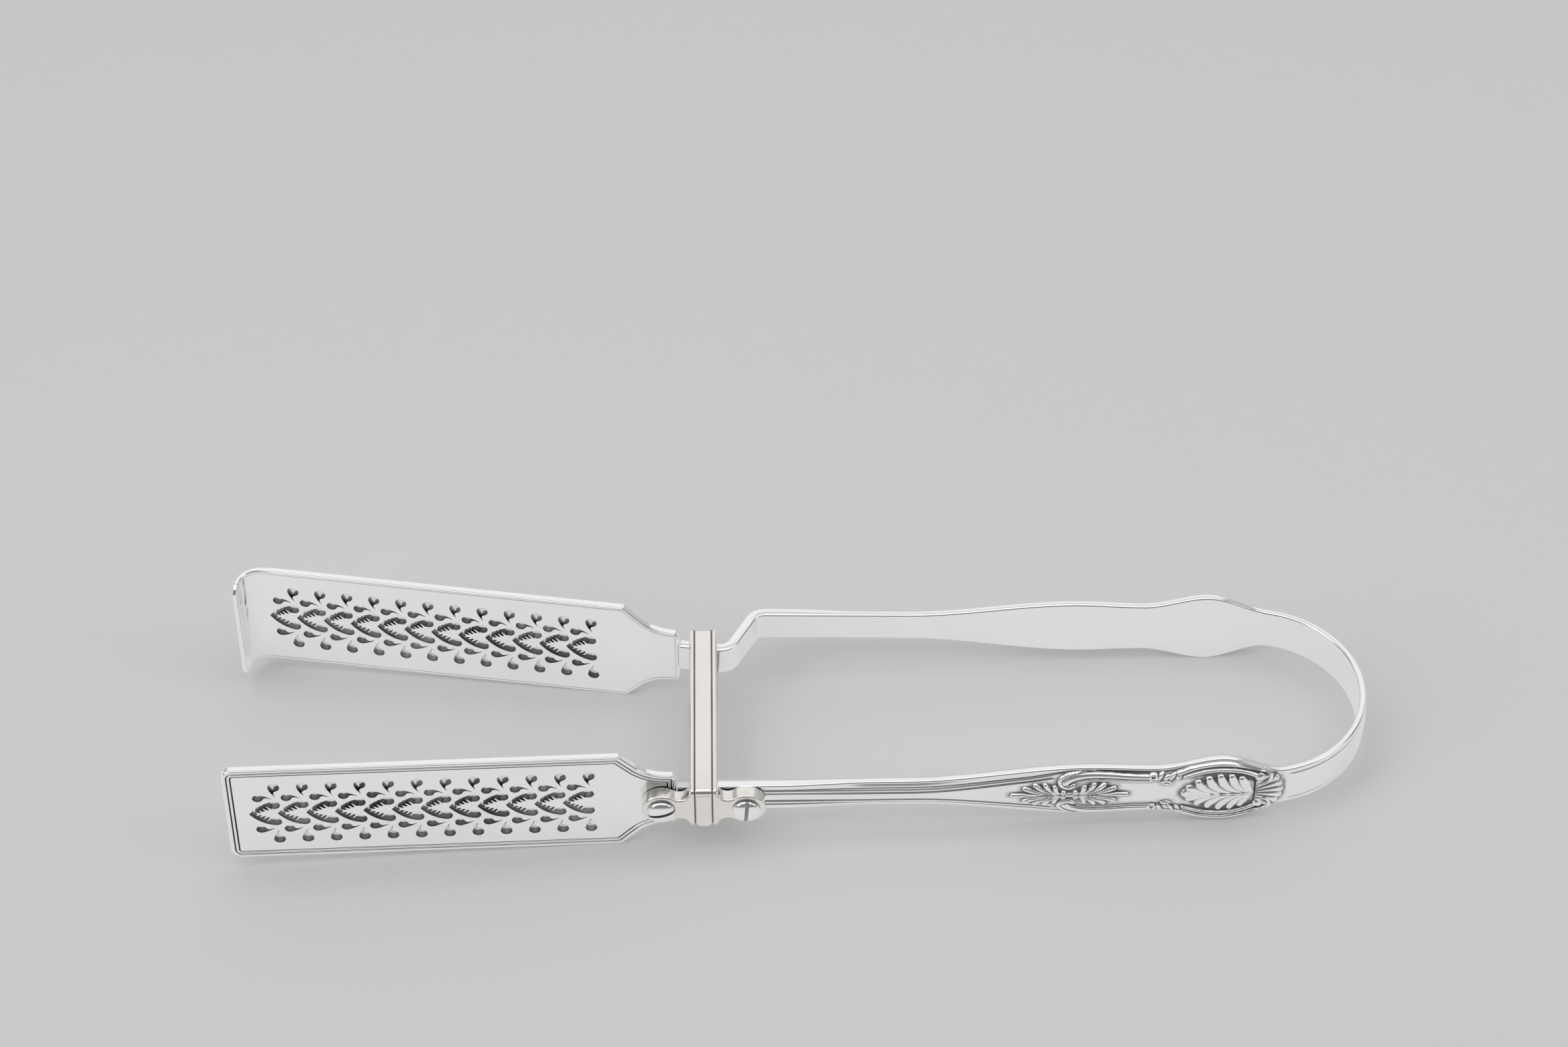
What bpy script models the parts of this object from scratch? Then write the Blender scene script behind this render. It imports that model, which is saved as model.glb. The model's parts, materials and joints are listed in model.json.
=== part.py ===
"""Asparagus tongs in table silver: two pierced blades on long handles, a sprung bow and a guide loop.

Lengths are in metres. The tongs lie on edge: +X runs from the blade tips to the bow, +Y from the
front arm to the rear arm, and +Z is up. Each arm is drawn in its own frame, which starts where the
handle leaves the bow: x runs back along the handle (so a station down the arm is at -x), y = 0 is the
handle's inner face, and "outward" is -y on the front arm and +y on the rear arm.
"""

import math

import bmesh
import bpy
from mathutils import Matrix, Vector

MM = 0.001
DEGREE = math.pi / 180
NEAR = 1e-7

# Clearances
SOLDER_GAP = 0.3 * MM
GUIDE_CLEARANCE = 0.35 * MM
SCREW_CLEARANCE = 0.3 * MM

# Spring bow
BOW_INNER_RADIUS = 22.3 * MM
BOW_HALF_WIDTH = 5.3 * MM
BOW_EDGE = 1.5 * MM
BOW_CROWN = 0.25 * MM
BOW_STEPS = 26
CROWN_SHARES = (0.8, 0.45, 0.0, -0.45, -0.8)

# Handles: the stations are distances from the end of the bow's arc
HANDLE_SPLAY = 0.7 * DEGREE
ARC_OVERLAP = 4.5 * MM
LOBE_STATION = 9.5 * MM
LOBE_HALF_WIDTH = 9.7 * MM
WAIST_STATION = 23.5 * MM
WAIST_HALF_WIDTH = 6.8 * MM
SHIELD_STATION = 38.0 * MM
SHIELD_HALF_WIDTH = 7.4 * MM
STEM_STATION = 76.0 * MM
STEM_HALF_WIDTH = 3.7 * MM
STEM_LENGTH = 109.0 * MM
SHIELD_EDGE = 1.7 * MM
SHIELD_CROWN = 0.9 * MM
STEM_EDGE = 1.7 * MM
STEM_CROWN = 0.9 * MM
EDGE_CHAMFER = 0.35 * MM
HANDLE_STEP = 3.0 * MM
OVERLAP_STEPS = 3

# Neck and the rear arm's crank
NECK_HALF_WIDTH = 3.7 * MM
NECK_THICKNESS = 2.4 * MM
NECK_LENGTH = 11.8 * MM
FLAT_RUN = 10.0 * MM
CRANK_RUN = 5.8 * MM
CRANK_DROP = 11.0 * MM
CRANK_RADIUS = 2.2 * MM
CRANK_STEPS = 5
FRONT_BLADE_SPLAY = 2.4 * DEGREE
REAR_BLADE_SPLAY = 8.3 * DEGREE

# Blades
BLADE_THICKNESS = 1.6 * MM
BLADE_HALF_WIDTH = 14.2 * MM
BLADE_LENGTH = 96.5 * MM
REAR_FLAT_LENGTH = 93.3 * MM
ROOT_HALF_WIDTH = 7.5 * MM
ROOT_CORNER = 1.3 * MM
ROOT_CORNER_STEPS = 3
SHOULDER_LAND = 1.5 * MM
SHOULDER_RADIUS = 10.0 * MM
SHOULDER_SWEEP = 47 * DEGREE
SHOULDER_STEPS = 5
TIP_CORNER = 2.5 * MM
CORNER_STEPS = 4
LIP_BEND_RADIUS = 4.0 * MM
LIP_ANGLE = 88 * DEGREE
LIP_STRAIGHT = 2.8 * MM
LIP_CORNER = 2.6 * MM
LIP_CORNER_LIMIT = 0.95
LIP_STEPS = 7

# Piercing: one leafy cell repeats along the blade, drawn on a cell one pitch long
PITCH = 6.1 * MM
FRONT_TIP_MARGIN = 5.0 * MM
REAR_TIP_MARGIN = 1.0 * MM
ROOT_MARGIN = 18.0 * MM
CHEVRON_RISE = (0.36, 0.53)
CHEVRON_BULB = (0.913, 0.444)
CHEVRON_BULB_RADIUS = 0.19
CHEVRON_BULB_START = 107 * DEGREE
CHEVRON_BULB_SWEEP = -225 * DEGREE
CHEVRON_BENDS = (0.3, 0.62)
TONGUE_TIP = 0.23
TONGUE_ROOT = (0.80, 0.25)
SERRATIONS = 3
SERRATION_DEPTH = 0.055
SERRATION_LEAN = 0.75
TEARDROP_BULB = (0.352, 0.838)
TEARDROP_RADIUS = 0.165
TEARDROP_TIP = (0.846, 0.787)
TEARDROP_BEND = 0.045
COMMA_BULB = (0.955, 1.390)
COMMA_RADIUS = 0.190
COMMA_TIP = (1.005, 0.913)
COMMA_BEND = -0.050
DROP_BACK = 210 * DEGREE
DROP_WAIST = 0.55
BULB_STEPS = 6
COUNT_ROUNDING = 0.001

# Guide loop and its screws
STRAP_WIDTH = 6.0 * MM
STRAP_THICKNESS = 1.6 * MM
STRAP_CORNER = 1.2 * MM
STRAP_CORNER_STEPS = 3
PLATE_THICKNESS = 2.8 * MM
EAR_RADIUS = 4.2 * MM
EAR_FILLET = 2.2 * MM
EAR_STEPS = 12
EAR_FILLET_STEPS = 5
SCREW_INSET = 3.2 * MM
HEAD_RADIUS = 3.0 * MM
HEAD_HEIGHT = 1.7 * MM
HEAD_RIM = 0.5 * MM
HEAD_STEPS = 4
SHANK_RADIUS = 1.3 * MM
SCREW_SIDES = 20
SLOT_WIDTH = 0.8 * MM
SLOT_DEPTH = 0.9 * MM
TIP_SCREW_TURN = 76 * DEGREE
BOW_SCREW_TURN = 4 * DEGREE
CUTTER_REACH = 2.0 * MM

FRONT, REAR = -1, 1

SILVER = (0.86, 0.85, 0.84, 1.0)
GUIDE_SILVER = (0.84, 0.82, 0.78, 1.0)
BOW_POLISH = 0.16
HANDLE_POLISH = 0.2
BLADE_POLISH = 0.14
GUIDE_POLISH = 0.24
SCREW_POLISH = 0.18
SHARP_ANGLE = 30 * DEGREE
EMPTY_SIZE = 10 * MM


def lerp(a, b, t):
    return a + (b - a) * t


def ease(t):
    """Smooth step from 0 to 1 with level ends."""
    t = min(max(t, 0.0), 1.0)
    return t * t * (3 - 2 * t)


def through(stations, s):
    """Value at s of a curve that is level at each (station, value) pair."""
    for (s0, v0), (s1, v1) in zip(stations, stations[1:]):
        if s <= s1:
            return lerp(v0, v1, ease((s - s0) / (s1 - s0)))
    return stations[-1][1]


def arc_points(centre, radius, start, sweep, steps):
    """Points along an arc in a plane, both ends included."""
    angles = [start + sweep * k / steps for k in range(steps + 1)]
    return [(centre[0] + radius * math.cos(a), centre[1] + radius * math.sin(a)) for a in angles]


def silver(name, colour, roughness):
    material = bpy.data.materials.new(name)
    material.use_nodes = True
    shader = material.node_tree.nodes["Principled BSDF"]
    shader.inputs["Base Color"].default_value = colour
    shader.inputs["Metallic"].default_value = 1.0
    shader.inputs["Roughness"].default_value = roughness
    material.diffuse_color = colour
    return material


def empty(name, location, parent=None):
    obj = bpy.data.objects.new(name, None)
    obj.empty_display_size = EMPTY_SIZE
    obj.location = location
    obj.parent = parent
    bpy.context.scene.collection.objects.link(obj)
    return obj


def piece(name, bm, colour, roughness, parent=None, location=(0, 0, 0), turn=0.0):
    """One named object from a closed bmesh, with its own silver."""
    bmesh.ops.recalc_face_normals(bm, faces=bm.faces)
    mesh = bpy.data.meshes.new(name)
    bm.to_mesh(mesh)
    bm.free()
    mesh.shade_smooth()
    mesh.set_sharp_from_angle(angle=SHARP_ANGLE)
    mesh.materials.append(silver(name + "_silver", colour, roughness))
    obj = bpy.data.objects.new(name, mesh)
    obj.location = location
    obj.rotation_euler = (0, 0, turn)
    obj.parent = parent
    bpy.context.scene.collection.objects.link(obj)
    return obj


def helper(name, bm, parent, location=(0, 0, 0), turn=0.0):
    """A form that only cuts or joins another piece."""
    obj = piece(name, bm, SILVER, HANDLE_POLISH, parent, location, turn)
    obj.hide_render = True
    obj.display_type = "WIRE"
    return obj


def boolean(obj, operation, other):
    modifier = obj.modifiers.new(other.name, "BOOLEAN")
    modifier.operation = operation
    modifier.object = other
    modifier.solver = "EXACT"


def loft(rings):
    """Closed skin over rings of points that all have the same count, with flat ends."""
    bm = bmesh.new()
    loops = [[bm.verts.new(point) for point in ring] for ring in rings]
    count = len(rings[0])
    for near, far in zip(loops, loops[1:]):
        for k in range(count):
            bm.faces.new((near[k], near[(k + 1) % count], far[(k + 1) % count], far[k]))
    bm.faces.new(reversed(loops[0]))
    bm.faces.new(loops[-1])
    return bm


def extrude_plate(outline, holes, to_point, thickness):
    """Flat plate with an outline and holes in its plane, raised along a thickness vector."""
    bm = bmesh.new()
    edges = []
    for loop in [outline] + holes:
        verts = [bm.verts.new(to_point(p)) for p in loop]
        edges += [bm.edges.new((a, b)) for a, b in zip(verts, verts[1:] + verts[:1])]
    bmesh.ops.triangle_fill(bm, edges=edges, use_beauty=True)
    raised = bmesh.ops.extrude_face_region(bm, geom=bm.faces[:])["geom"]
    verts = [v for v in raised if isinstance(v, bmesh.types.BMVert)]
    bmesh.ops.translate(bm, verts=verts, vec=thickness)
    return bm


def strip_ring(centre, outward, half_width, edge, crown):
    """Section of a strip: flat inner face, chamfered edges and a crowned outer face."""
    chamfer = min(EDGE_CHAMFER, edge / 3, half_width / 3)
    section = [(0, chamfer - half_width), (0, half_width - chamfer), (chamfer, half_width)]
    section += [(edge - chamfer, half_width)]
    section += [(edge + crown * (1 - share ** 2), half_width * share) for share in CROWN_SHARES]
    section += [(edge - chamfer, -half_width), (chamfer, -half_width)]
    return [Vector((centre.x + outward.x * n, centre.y + outward.y * n, z)) for n, z in section]


def strip_along(path, sizes):
    """Loft of strip sections along plan points; sizes(distance) gives half width, edge and crown."""
    rings = []
    for distance, point, outward in path:
        rings.append(strip_ring(point, outward, *sizes(distance)))
    return loft(rings)


def handle_sizes(s):
    """Half width, edge thickness and crown of a handle at a distance s from the bow's arc."""
    flat_start = STEM_LENGTH - FLAT_RUN
    width = through(
        (
            (-ARC_OVERLAP, BOW_HALF_WIDTH),
            (LOBE_STATION, LOBE_HALF_WIDTH),
            (WAIST_STATION, WAIST_HALF_WIDTH),
            (SHIELD_STATION, SHIELD_HALF_WIDTH),
            (STEM_STATION, STEM_HALF_WIDTH),
            (STEM_LENGTH, NECK_HALF_WIDTH),
        ),
        s,
    )
    edge = through(
        (
            (-ARC_OVERLAP, BOW_EDGE),
            (LOBE_STATION, SHIELD_EDGE),
            (SHIELD_STATION, SHIELD_EDGE),
            (STEM_STATION, STEM_EDGE),
            (flat_start, STEM_EDGE),
            (STEM_LENGTH - FLAT_RUN / 2, NECK_THICKNESS),
        ),
        s,
    )
    crown = through(
        (
            (-ARC_OVERLAP, BOW_CROWN),
            (LOBE_STATION, SHIELD_CROWN),
            (STEM_STATION, STEM_CROWN),
            (flat_start, STEM_CROWN),
            (STEM_LENGTH - FLAT_RUN / 2, 0.0),
        ),
        s,
    )
    return width, edge, crown


def arm_path(side, corners):
    """Stations (distance, point, outward) from the bow's arc along plan corners joined by bends.

    A bend's radius is taken on its hollow side, whichever face of the strip that is.
    """
    path = []
    for k in range(OVERLAP_STEPS):
        angle = (ARC_OVERLAP - SOLDER_GAP) / BOW_INNER_RADIUS * (1 - k / OVERLAP_STEPS)
        radial = Vector((math.sin(angle), side * math.cos(angle)))
        centre = Vector((0, -side * BOW_INNER_RADIUS))
        path.append((-angle * BOW_INNER_RADIUS, centre + radial * BOW_INNER_RADIUS, radial))
    points = [Vector((0, 0))] + [Vector(corner) for corner in corners]
    distance = 0.0
    start = points[0]
    for k in range(1, len(points)):
        along = (points[k] - points[k - 1]).normalized()
        outward = Vector((along.y, -along.x)) * side
        last = k == len(points) - 1
        if not last:
            onward = (points[k + 1] - points[k]).normalized()
            turn = math.atan2(along.cross(onward), along.dot(onward))
            inward_turn = math.copysign(1.0, turn)
            radius = CRANK_RADIUS + (NECK_THICKNESS if inward_turn == -side else 0.0)
            inset = radius * math.tan(abs(turn) / 2)
        end = points[k] if last else points[k] - along * inset
        length = (end - start).length
        steps = max(1, round(length / HANDLE_STEP))
        for step in range(steps + 1):
            share = step / steps
            path.append((distance + length * share, start.lerp(end, share), outward))
        distance += length
        if last:
            break
        pivot = end + Vector((-along.y, along.x)) * inward_turn * radius
        for step in range(1, CRANK_STEPS):
            swing = Matrix.Rotation(turn * step / CRANK_STEPS, 2)
            bend = distance + radius * abs(turn) * step / CRANK_STEPS
            path.append((bend, pivot + swing @ (end - pivot), swing @ outward))
        start = points[k] + onward * inset
        distance += radius * abs(turn)
    return path


def bow_end(side):
    """Where an arm's frame starts: the end of the bow's arc, and the arm's turn about Z."""
    angle = math.pi / 2 - HANDLE_SPLAY
    point = Vector((BOW_INNER_RADIUS * math.cos(angle), side * BOW_INNER_RADIUS * math.sin(angle), 0))
    return point, -side * HANDLE_SPLAY


def neck_line(side):
    """Start of the neck in the arm's frame, and the way that it runs towards the blade."""
    start = Vector((-STEM_LENGTH - CRANK_RUN, -CRANK_DROP if side == REAR else 0))
    splay = REAR_BLADE_SPLAY - HANDLE_SPLAY if side == REAR else 0.0
    return start, Vector((-math.cos(splay), side * math.sin(splay)))


def blade_root(side):
    """Neck's start, blade's root and the blade's turn about Z in the tongs' frame, on the inner faces."""
    place, turn = bow_end(side)
    start, along = neck_line(side)
    spin = Matrix.Rotation(turn, 3, "Z")
    splay = REAR_BLADE_SPLAY if side == REAR else FRONT_BLADE_SPLAY
    root = start + along * NECK_LENGTH
    return place + spin @ start.to_3d(), place + spin @ root.to_3d(), -side * splay


def add_bow(parent):
    reach = math.pi / 2 - HANDLE_SPLAY - ARC_OVERLAP / BOW_INNER_RADIUS
    path = []
    for k in range(BOW_STEPS + 1):
        angle = reach * (2 * k / BOW_STEPS - 1)
        radial = Vector((math.cos(angle), math.sin(angle)))
        path.append((angle, radial * BOW_INNER_RADIUS, radial))
    sizes = (BOW_HALF_WIDTH, BOW_EDGE, BOW_CROWN)
    piece("spring_bow", strip_along(path, lambda angle: sizes), SILVER, BOW_POLISH, parent)


def add_handle(name, side, parent, origin):
    """Handle and neck. The rear one has a crank that carries its neck in towards the front arm."""
    start, turn = bow_end(side)
    neck, along = neck_line(side)
    neck_end = neck + along * (NECK_LENGTH - SOLDER_GAP)
    corners = [(-STEM_LENGTH, 0), neck, neck_end] if side == REAR else [neck_end]
    bm = strip_along(arm_path(side, corners), handle_sizes)
    return piece(name, bm, SILVER, HANDLE_POLISH, parent, start - origin, turn)


def drop_hole(bulb, radius, tip, bend):
    """Outline of a drop: a round back, and two sides that bend over to a pointed tip."""
    axis = Vector((tip[0] - bulb[0], tip[1] - bulb[1]))
    facing = math.atan2(axis.y, axis.x)
    outline = arc_points(bulb, radius, facing + math.pi - DROP_BACK / 2, DROP_BACK, BULB_STEPS)
    across = Vector((-axis.y, axis.x)).normalized()
    waist = Vector(bulb) + axis * DROP_WAIST
    low = waist + across * (bend - radius * DROP_WAIST)
    high = waist + across * (bend + radius * DROP_WAIST)
    return outline + [tuple(low), tuple(tip), tuple(high)]


def chevron_hole():
    """Outline of a pointed arch with two round ends, round a serrated leaf tongue."""
    radius, start, sweep = CHEVRON_BULB_RADIUS, CHEVRON_BULB_START, CHEVRON_BULB_SWEEP
    bulb = [Vector(p) for p in arc_points(CHEVRON_BULB, radius, start, sweep, BULB_STEPS)]
    rise = Vector(CHEVRON_RISE)
    upper = [2 * t * (1 - t) * rise + t * t * bulb[0] for t in CHEVRON_BENDS] + bulb
    root, tip = Vector(TONGUE_ROOT), Vector((TONGUE_TIP, 0))
    along = (tip - root).normalized()
    across = Vector((along.y, -along.x))
    for k in range(SERRATIONS):
        valley = root.lerp(tip, k / SERRATIONS)
        peak = root.lerp(tip, (k + SERRATION_LEAN) / SERRATIONS) + across * SERRATION_DEPTH
        upper += [valley, peak]
    lower = [Vector((p.x, -p.y)) for p in reversed(upper)]
    return [(0.0, 0.0)] + [tuple(p) for p in upper] + [tuple(tip)] + [tuple(p) for p in lower]


def piercing(end_station, tip_margin):
    """Hole outlines along a blade, in (station from the blade's step, height)."""
    run = end_station - tip_margin - ROOT_MARGIN
    last_bulb = (CHEVRON_BULB[0] + CHEVRON_BULB_RADIUS) * PITCH
    count = math.floor((run - last_bulb) / PITCH + COUNT_ROUNDING) + 1
    drops = (
        drop_hole(TEARDROP_BULB, TEARDROP_RADIUS, TEARDROP_TIP, TEARDROP_BEND),
        drop_hole(COMMA_BULB, COMMA_RADIUS, COMMA_TIP, COMMA_BEND),
    )
    cell = [chevron_hole()]
    for drop in drops:
        cell += [drop, [(x, -z) for x, z in drop]]
    holes = []
    for k in range(count):
        vertex = end_station - tip_margin - k * PITCH
        holes += [[(vertex - x * PITCH, z * PITCH) for x, z in hole] for hole in cell]
    return holes


def blade_outline(end_station, tip_corner):
    """Half outline from the step, over the hollow shoulder, to the tip; then its mirror image."""
    arc_centre = (SHOULDER_LAND, ROOT_HALF_WIDTH + SHOULDER_RADIUS)
    root_centre = (ROOT_CORNER, ROOT_HALF_WIDTH - ROOT_CORNER)
    upper = arc_points(root_centre, ROOT_CORNER, 180 * DEGREE, -90 * DEGREE, ROOT_CORNER_STEPS)
    upper += arc_points(arc_centre, SHOULDER_RADIUS, -90 * DEGREE, SHOULDER_SWEEP, SHOULDER_STEPS)
    hollow_end = upper[-1]
    climb = (BLADE_HALF_WIDTH - hollow_end[1]) / math.tan(SHOULDER_SWEEP)
    upper.append((hollow_end[0] + climb, BLADE_HALF_WIDTH))
    if tip_corner:
        centre = (end_station - tip_corner, BLADE_HALF_WIDTH - tip_corner)
        upper += arc_points(centre, tip_corner, 90 * DEGREE, -90 * DEGREE, CORNER_STEPS)
    else:
        upper.append((end_station, BLADE_HALF_WIDTH))
    return upper + [(u, -z) for u, z in reversed(upper)]


def add_front_blade(parent):
    """Flat pierced blade whose outer face is flush with the neck's, with a hole for the guide's screw."""
    _, root, turn = blade_root(FRONT)
    screw_hole = arc_points((SCREW_INSET, 0), SHANK_RADIUS + SCREW_CLEARANCE, 0, -2 * math.pi, SCREW_SIDES)
    holes = piercing(BLADE_LENGTH, FRONT_TIP_MARGIN) + [screw_hole[:-1]]
    inner = FRONT * (NECK_THICKNESS - BLADE_THICKNESS)

    def to_point(p):
        return Vector((-p[0], inner, p[1]))

    outline = blade_outline(BLADE_LENGTH, TIP_CORNER)
    bm = extrude_plate(outline, holes, to_point, Vector((0, FRONT * BLADE_THICKNESS, 0)))
    piece("front_blade", bm, SILVER, BLADE_POLISH, parent, root, turn)


def add_rear_blade(parent, origin):
    """Flat pierced blade whose inner face runs on from the neck, with its tip turned in to a lip."""
    _, root, turn = blade_root(REAR)
    flat = REAR_FLAT_LENGTH

    def to_point(p):
        return Vector((-p[0], 0, p[1]))

    outline = blade_outline(flat, 0.0)
    holes = piercing(flat, REAR_TIP_MARGIN)
    bm = extrude_plate(outline, holes, to_point, Vector((0, REAR * BLADE_THICKNESS, 0)))
    bm.normal_update()
    tip = min(bm.faces, key=lambda face: face.calc_center_median().x)
    tip_faces = [f for f in bm.faces if abs(f.calc_center_median().x - tip.calc_center_median().x) < NEAR]
    pivot = Vector((-flat, -REAR * LIP_BEND_RADIUS, 0))
    spun = bmesh.ops.spin(
        bm,
        geom=tip_faces,
        cent=pivot,
        axis=(0, 0, 1),
        dvec=(0, 0, 0),
        angle=REAR * LIP_ANGLE,
        steps=LIP_STEPS,
        use_merge=False,
        use_normal_flip=False,
        use_duplicate=False,
    )
    end_faces = [f for f in spun["geom_last"] if isinstance(f, bmesh.types.BMFace)]
    inward = Vector((-math.cos(LIP_ANGLE), -REAR * math.sin(LIP_ANGLE), 0))
    raised = bmesh.ops.extrude_face_region(bm, geom=end_faces)["geom"]
    end_verts = [v for v in raised if isinstance(v, bmesh.types.BMVert)]
    bmesh.ops.translate(bm, verts=end_verts, vec=inward * LIP_STRAIGHT)
    buried = [f for f in bm.faces if all(len(edge.link_faces) > 2 for edge in f.edges)]
    bmesh.ops.delete(bm, geom=buried, context="FACES_ONLY")
    corner_edges = {
        edge
        for v in end_verts
        for edge in v.link_edges
        if edge.other_vert(v) in end_verts and abs(edge.verts[0].co.z - edge.verts[1].co.z) < NEAR
    }
    bmesh.ops.bevel(
        bm,
        geom=list(corner_edges),
        offset=min(LIP_CORNER, LIP_STRAIGHT * LIP_CORNER_LIMIT),
        segments=CORNER_STEPS,
        profile=0.5,
        affect="EDGES",
    )
    piece("rear_blade", bm, SILVER, BLADE_POLISH, parent, root - origin, turn)


def neck_reach(station_x):
    """The rear neck's outer face at a place along X: its y in the tongs' frame."""
    start, root, _ = blade_root(REAR)
    along = (root - start).normalized()
    outward = Vector((along.y, -along.x, 0)) * REAR
    face = start + outward * NECK_THICKNESS
    return face.y + along.y / along.x * (station_x - face.x)


def add_guide(parent):
    """Guide loop: a strap round both necks, in one with an eared plate on the front arm's outer face."""
    start, root, _ = blade_root(FRONT)
    _, turn = bow_end(FRONT)
    centre = (start + root) / 2
    inner_half = NECK_HALF_WIDTH + GUIDE_CLEARANCE
    outer_half = inner_half + STRAP_THICKNESS
    seat = -NECK_THICKNESS - SOLDER_GAP
    front = seat - PLATE_THICKNESS
    spin = Matrix.Rotation(turn, 3, "Z")
    to_arm = spin.transposed()
    far_edge = centre + spin @ Vector((-STRAP_WIDTH / 2, 0, 0))
    far_inner = (to_arm @ (Vector((far_edge.x, neck_reach(far_edge.x), 0)) - centre)).y + GUIDE_CLEARANCE
    far = far_inner + STRAP_THICKNESS

    def rounded_box(y0, y1, half, radius):
        corners = ((y1 - radius, half - radius, 0), (y0 + radius, half - radius, 1))
        corners += ((y0 + radius, radius - half, 2), (y1 - radius, radius - half, 3))
        points = []
        for y, z, quarter in corners:
            points += arc_points((y, z), radius, quarter * 90 * DEGREE, 90 * DEGREE, STRAP_CORNER_STEPS)
        return points

    def across(p):
        return Vector((-STRAP_WIDTH / 2, p[0], p[1]))

    outer = rounded_box(front, far, outer_half, STRAP_CORNER)
    inner = rounded_box(seat, far_inner, inner_half, STRAP_CORNER / 2)
    loop = extrude_plate(outer, [inner], across, Vector((STRAP_WIDTH, 0, 0)))
    guide = piece("guide_loop", loop, GUIDE_SILVER, GUIDE_POLISH, parent, centre, turn)

    ear = NECK_LENGTH / 2 + SCREW_INSET
    half_strap = STRAP_WIDTH / 2
    reach = EAR_RADIUS + EAR_FILLET
    fillet_x = half_strap + EAR_FILLET
    fillet_z = math.sqrt(reach ** 2 - (ear - fillet_x) ** 2)
    toward_ear = math.atan2(-fillet_z, ear - fillet_x)
    top = outer_half - STRAP_CORNER
    begin = math.pi + math.asin(min(max((fillet_z - top) / EAR_FILLET, 0.0), 1.0))
    sweep = toward_ear + 2 * math.pi - begin
    quarter = [(half_strap, top)]
    quarter += arc_points((fillet_x, fillet_z), EAR_FILLET, begin, sweep, EAR_FILLET_STEPS)
    start = math.pi + toward_ear
    quarter += arc_points((ear, 0), EAR_RADIUS, start, -start, EAR_STEPS)[1:]
    right = quarter + [(x, -z) for x, z in reversed(quarter[:-1])]
    outline = right + [(-x, -z) for x, z in right]

    def on_seat(p):
        return Vector((p[0], seat, p[1]))

    plate = extrude_plate(outline, [], on_seat, Vector((0, -PLATE_THICKNESS, 0)))
    boolean(guide, "UNION", helper("guide_plate_form", plate, parent, centre, turn))
    for name, x in (("guide_tip_hole", -ear), ("guide_bow_hole", ear)):
        place = centre + spin @ Vector((x, 0, 0))
        boolean(guide, "DIFFERENCE", screw_hole_form(name, front, parent, place, turn))
    return centre, turn, front, ear


def ring_about_y(radius, y):
    points = arc_points((0, 0), radius, 0, 2 * math.pi, SCREW_SIDES)[:-1]
    return [Vector((x, y, z)) for x, z in points]


def screw_hole_form(name, front, parent, location, turn):
    """Cutter for a screw's clearance hole, through the plate and the arm behind it."""
    radius = SHANK_RADIUS + SCREW_CLEARANCE
    bm = loft([ring_about_y(radius, front - CUTTER_REACH), ring_about_y(radius, CUTTER_REACH)])
    return helper(name, bm, parent, location, turn)


def add_screw(name, parent, location, turn, front, slot_turn):
    """Dome-headed slotted screw: its head sits on the plate and its shank ends inside the arm."""
    under_head = front - SOLDER_GAP
    shank_end = -SOLDER_GAP
    rings = [ring_about_y(SHANK_RADIUS, shank_end), ring_about_y(SHANK_RADIUS, under_head)]
    rings += [ring_about_y(HEAD_RADIUS, under_head), ring_about_y(HEAD_RADIUS, under_head - HEAD_RIM)]
    dome = HEAD_HEIGHT - HEAD_RIM
    for k in range(1, HEAD_STEPS):
        angle = k / HEAD_STEPS * math.pi / 2
        height = HEAD_RIM + dome * math.sin(angle)
        rings.append(ring_about_y(HEAD_RADIUS * math.cos(angle), under_head - height))
    screw = piece(name, loft(rings), SILVER, SCREW_POLISH, parent, location, turn)
    top = under_head - HEAD_HEIGHT
    bm = bmesh.new()
    bmesh.ops.create_cube(bm, size=1.0)
    bmesh.ops.scale(bm, vec=(SLOT_WIDTH, 2 * SLOT_DEPTH, 3 * HEAD_RADIUS), verts=bm.verts)
    bmesh.ops.rotate(bm, cent=(0, 0, 0), matrix=Matrix.Rotation(slot_turn, 3, "Y"), verts=bm.verts)
    bmesh.ops.translate(bm, vec=(0, top, 0), verts=bm.verts)
    boolean(screw, "DIFFERENCE", helper(name + "_slot", bm, parent, location, turn))


def rest_tilt():
    """Angle at which the blades' lower shoulders and the handles' lobes all touch one floor."""
    outline = blade_outline(BLADE_LENGTH, TIP_CORNER)
    shoulder = outline[ROOT_CORNER_STEPS + SHOULDER_STEPS + 2][0]
    _, root, _ = blade_root(FRONT)
    return math.atan2(BLADE_HALF_WIDTH - LOBE_HALF_WIDTH, shoulder - root.x - LOBE_STATION)


def stand_on_floor(tongs):
    """Moves the whole assembly so that the middle of its box is over the origin and it rests on z = 0."""
    bpy.context.view_layer.update()
    graph = bpy.context.evaluated_depsgraph_get()
    corners = []
    for obj in bpy.context.scene.objects:
        if obj.type == "MESH" and not obj.hide_render:
            solid = obj.evaluated_get(graph)
            corners += [solid.matrix_world @ v.co for v in solid.data.vertices]
    low = [min(c[axis] for c in corners) for axis in range(3)]
    high = [max(c[axis] for c in corners) for axis in range(3)]
    tongs.location = (-(low[0] + high[0]) / 2, -(low[1] + high[1]) / 2, -low[2])
    bpy.context.view_layer.update()


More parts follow.
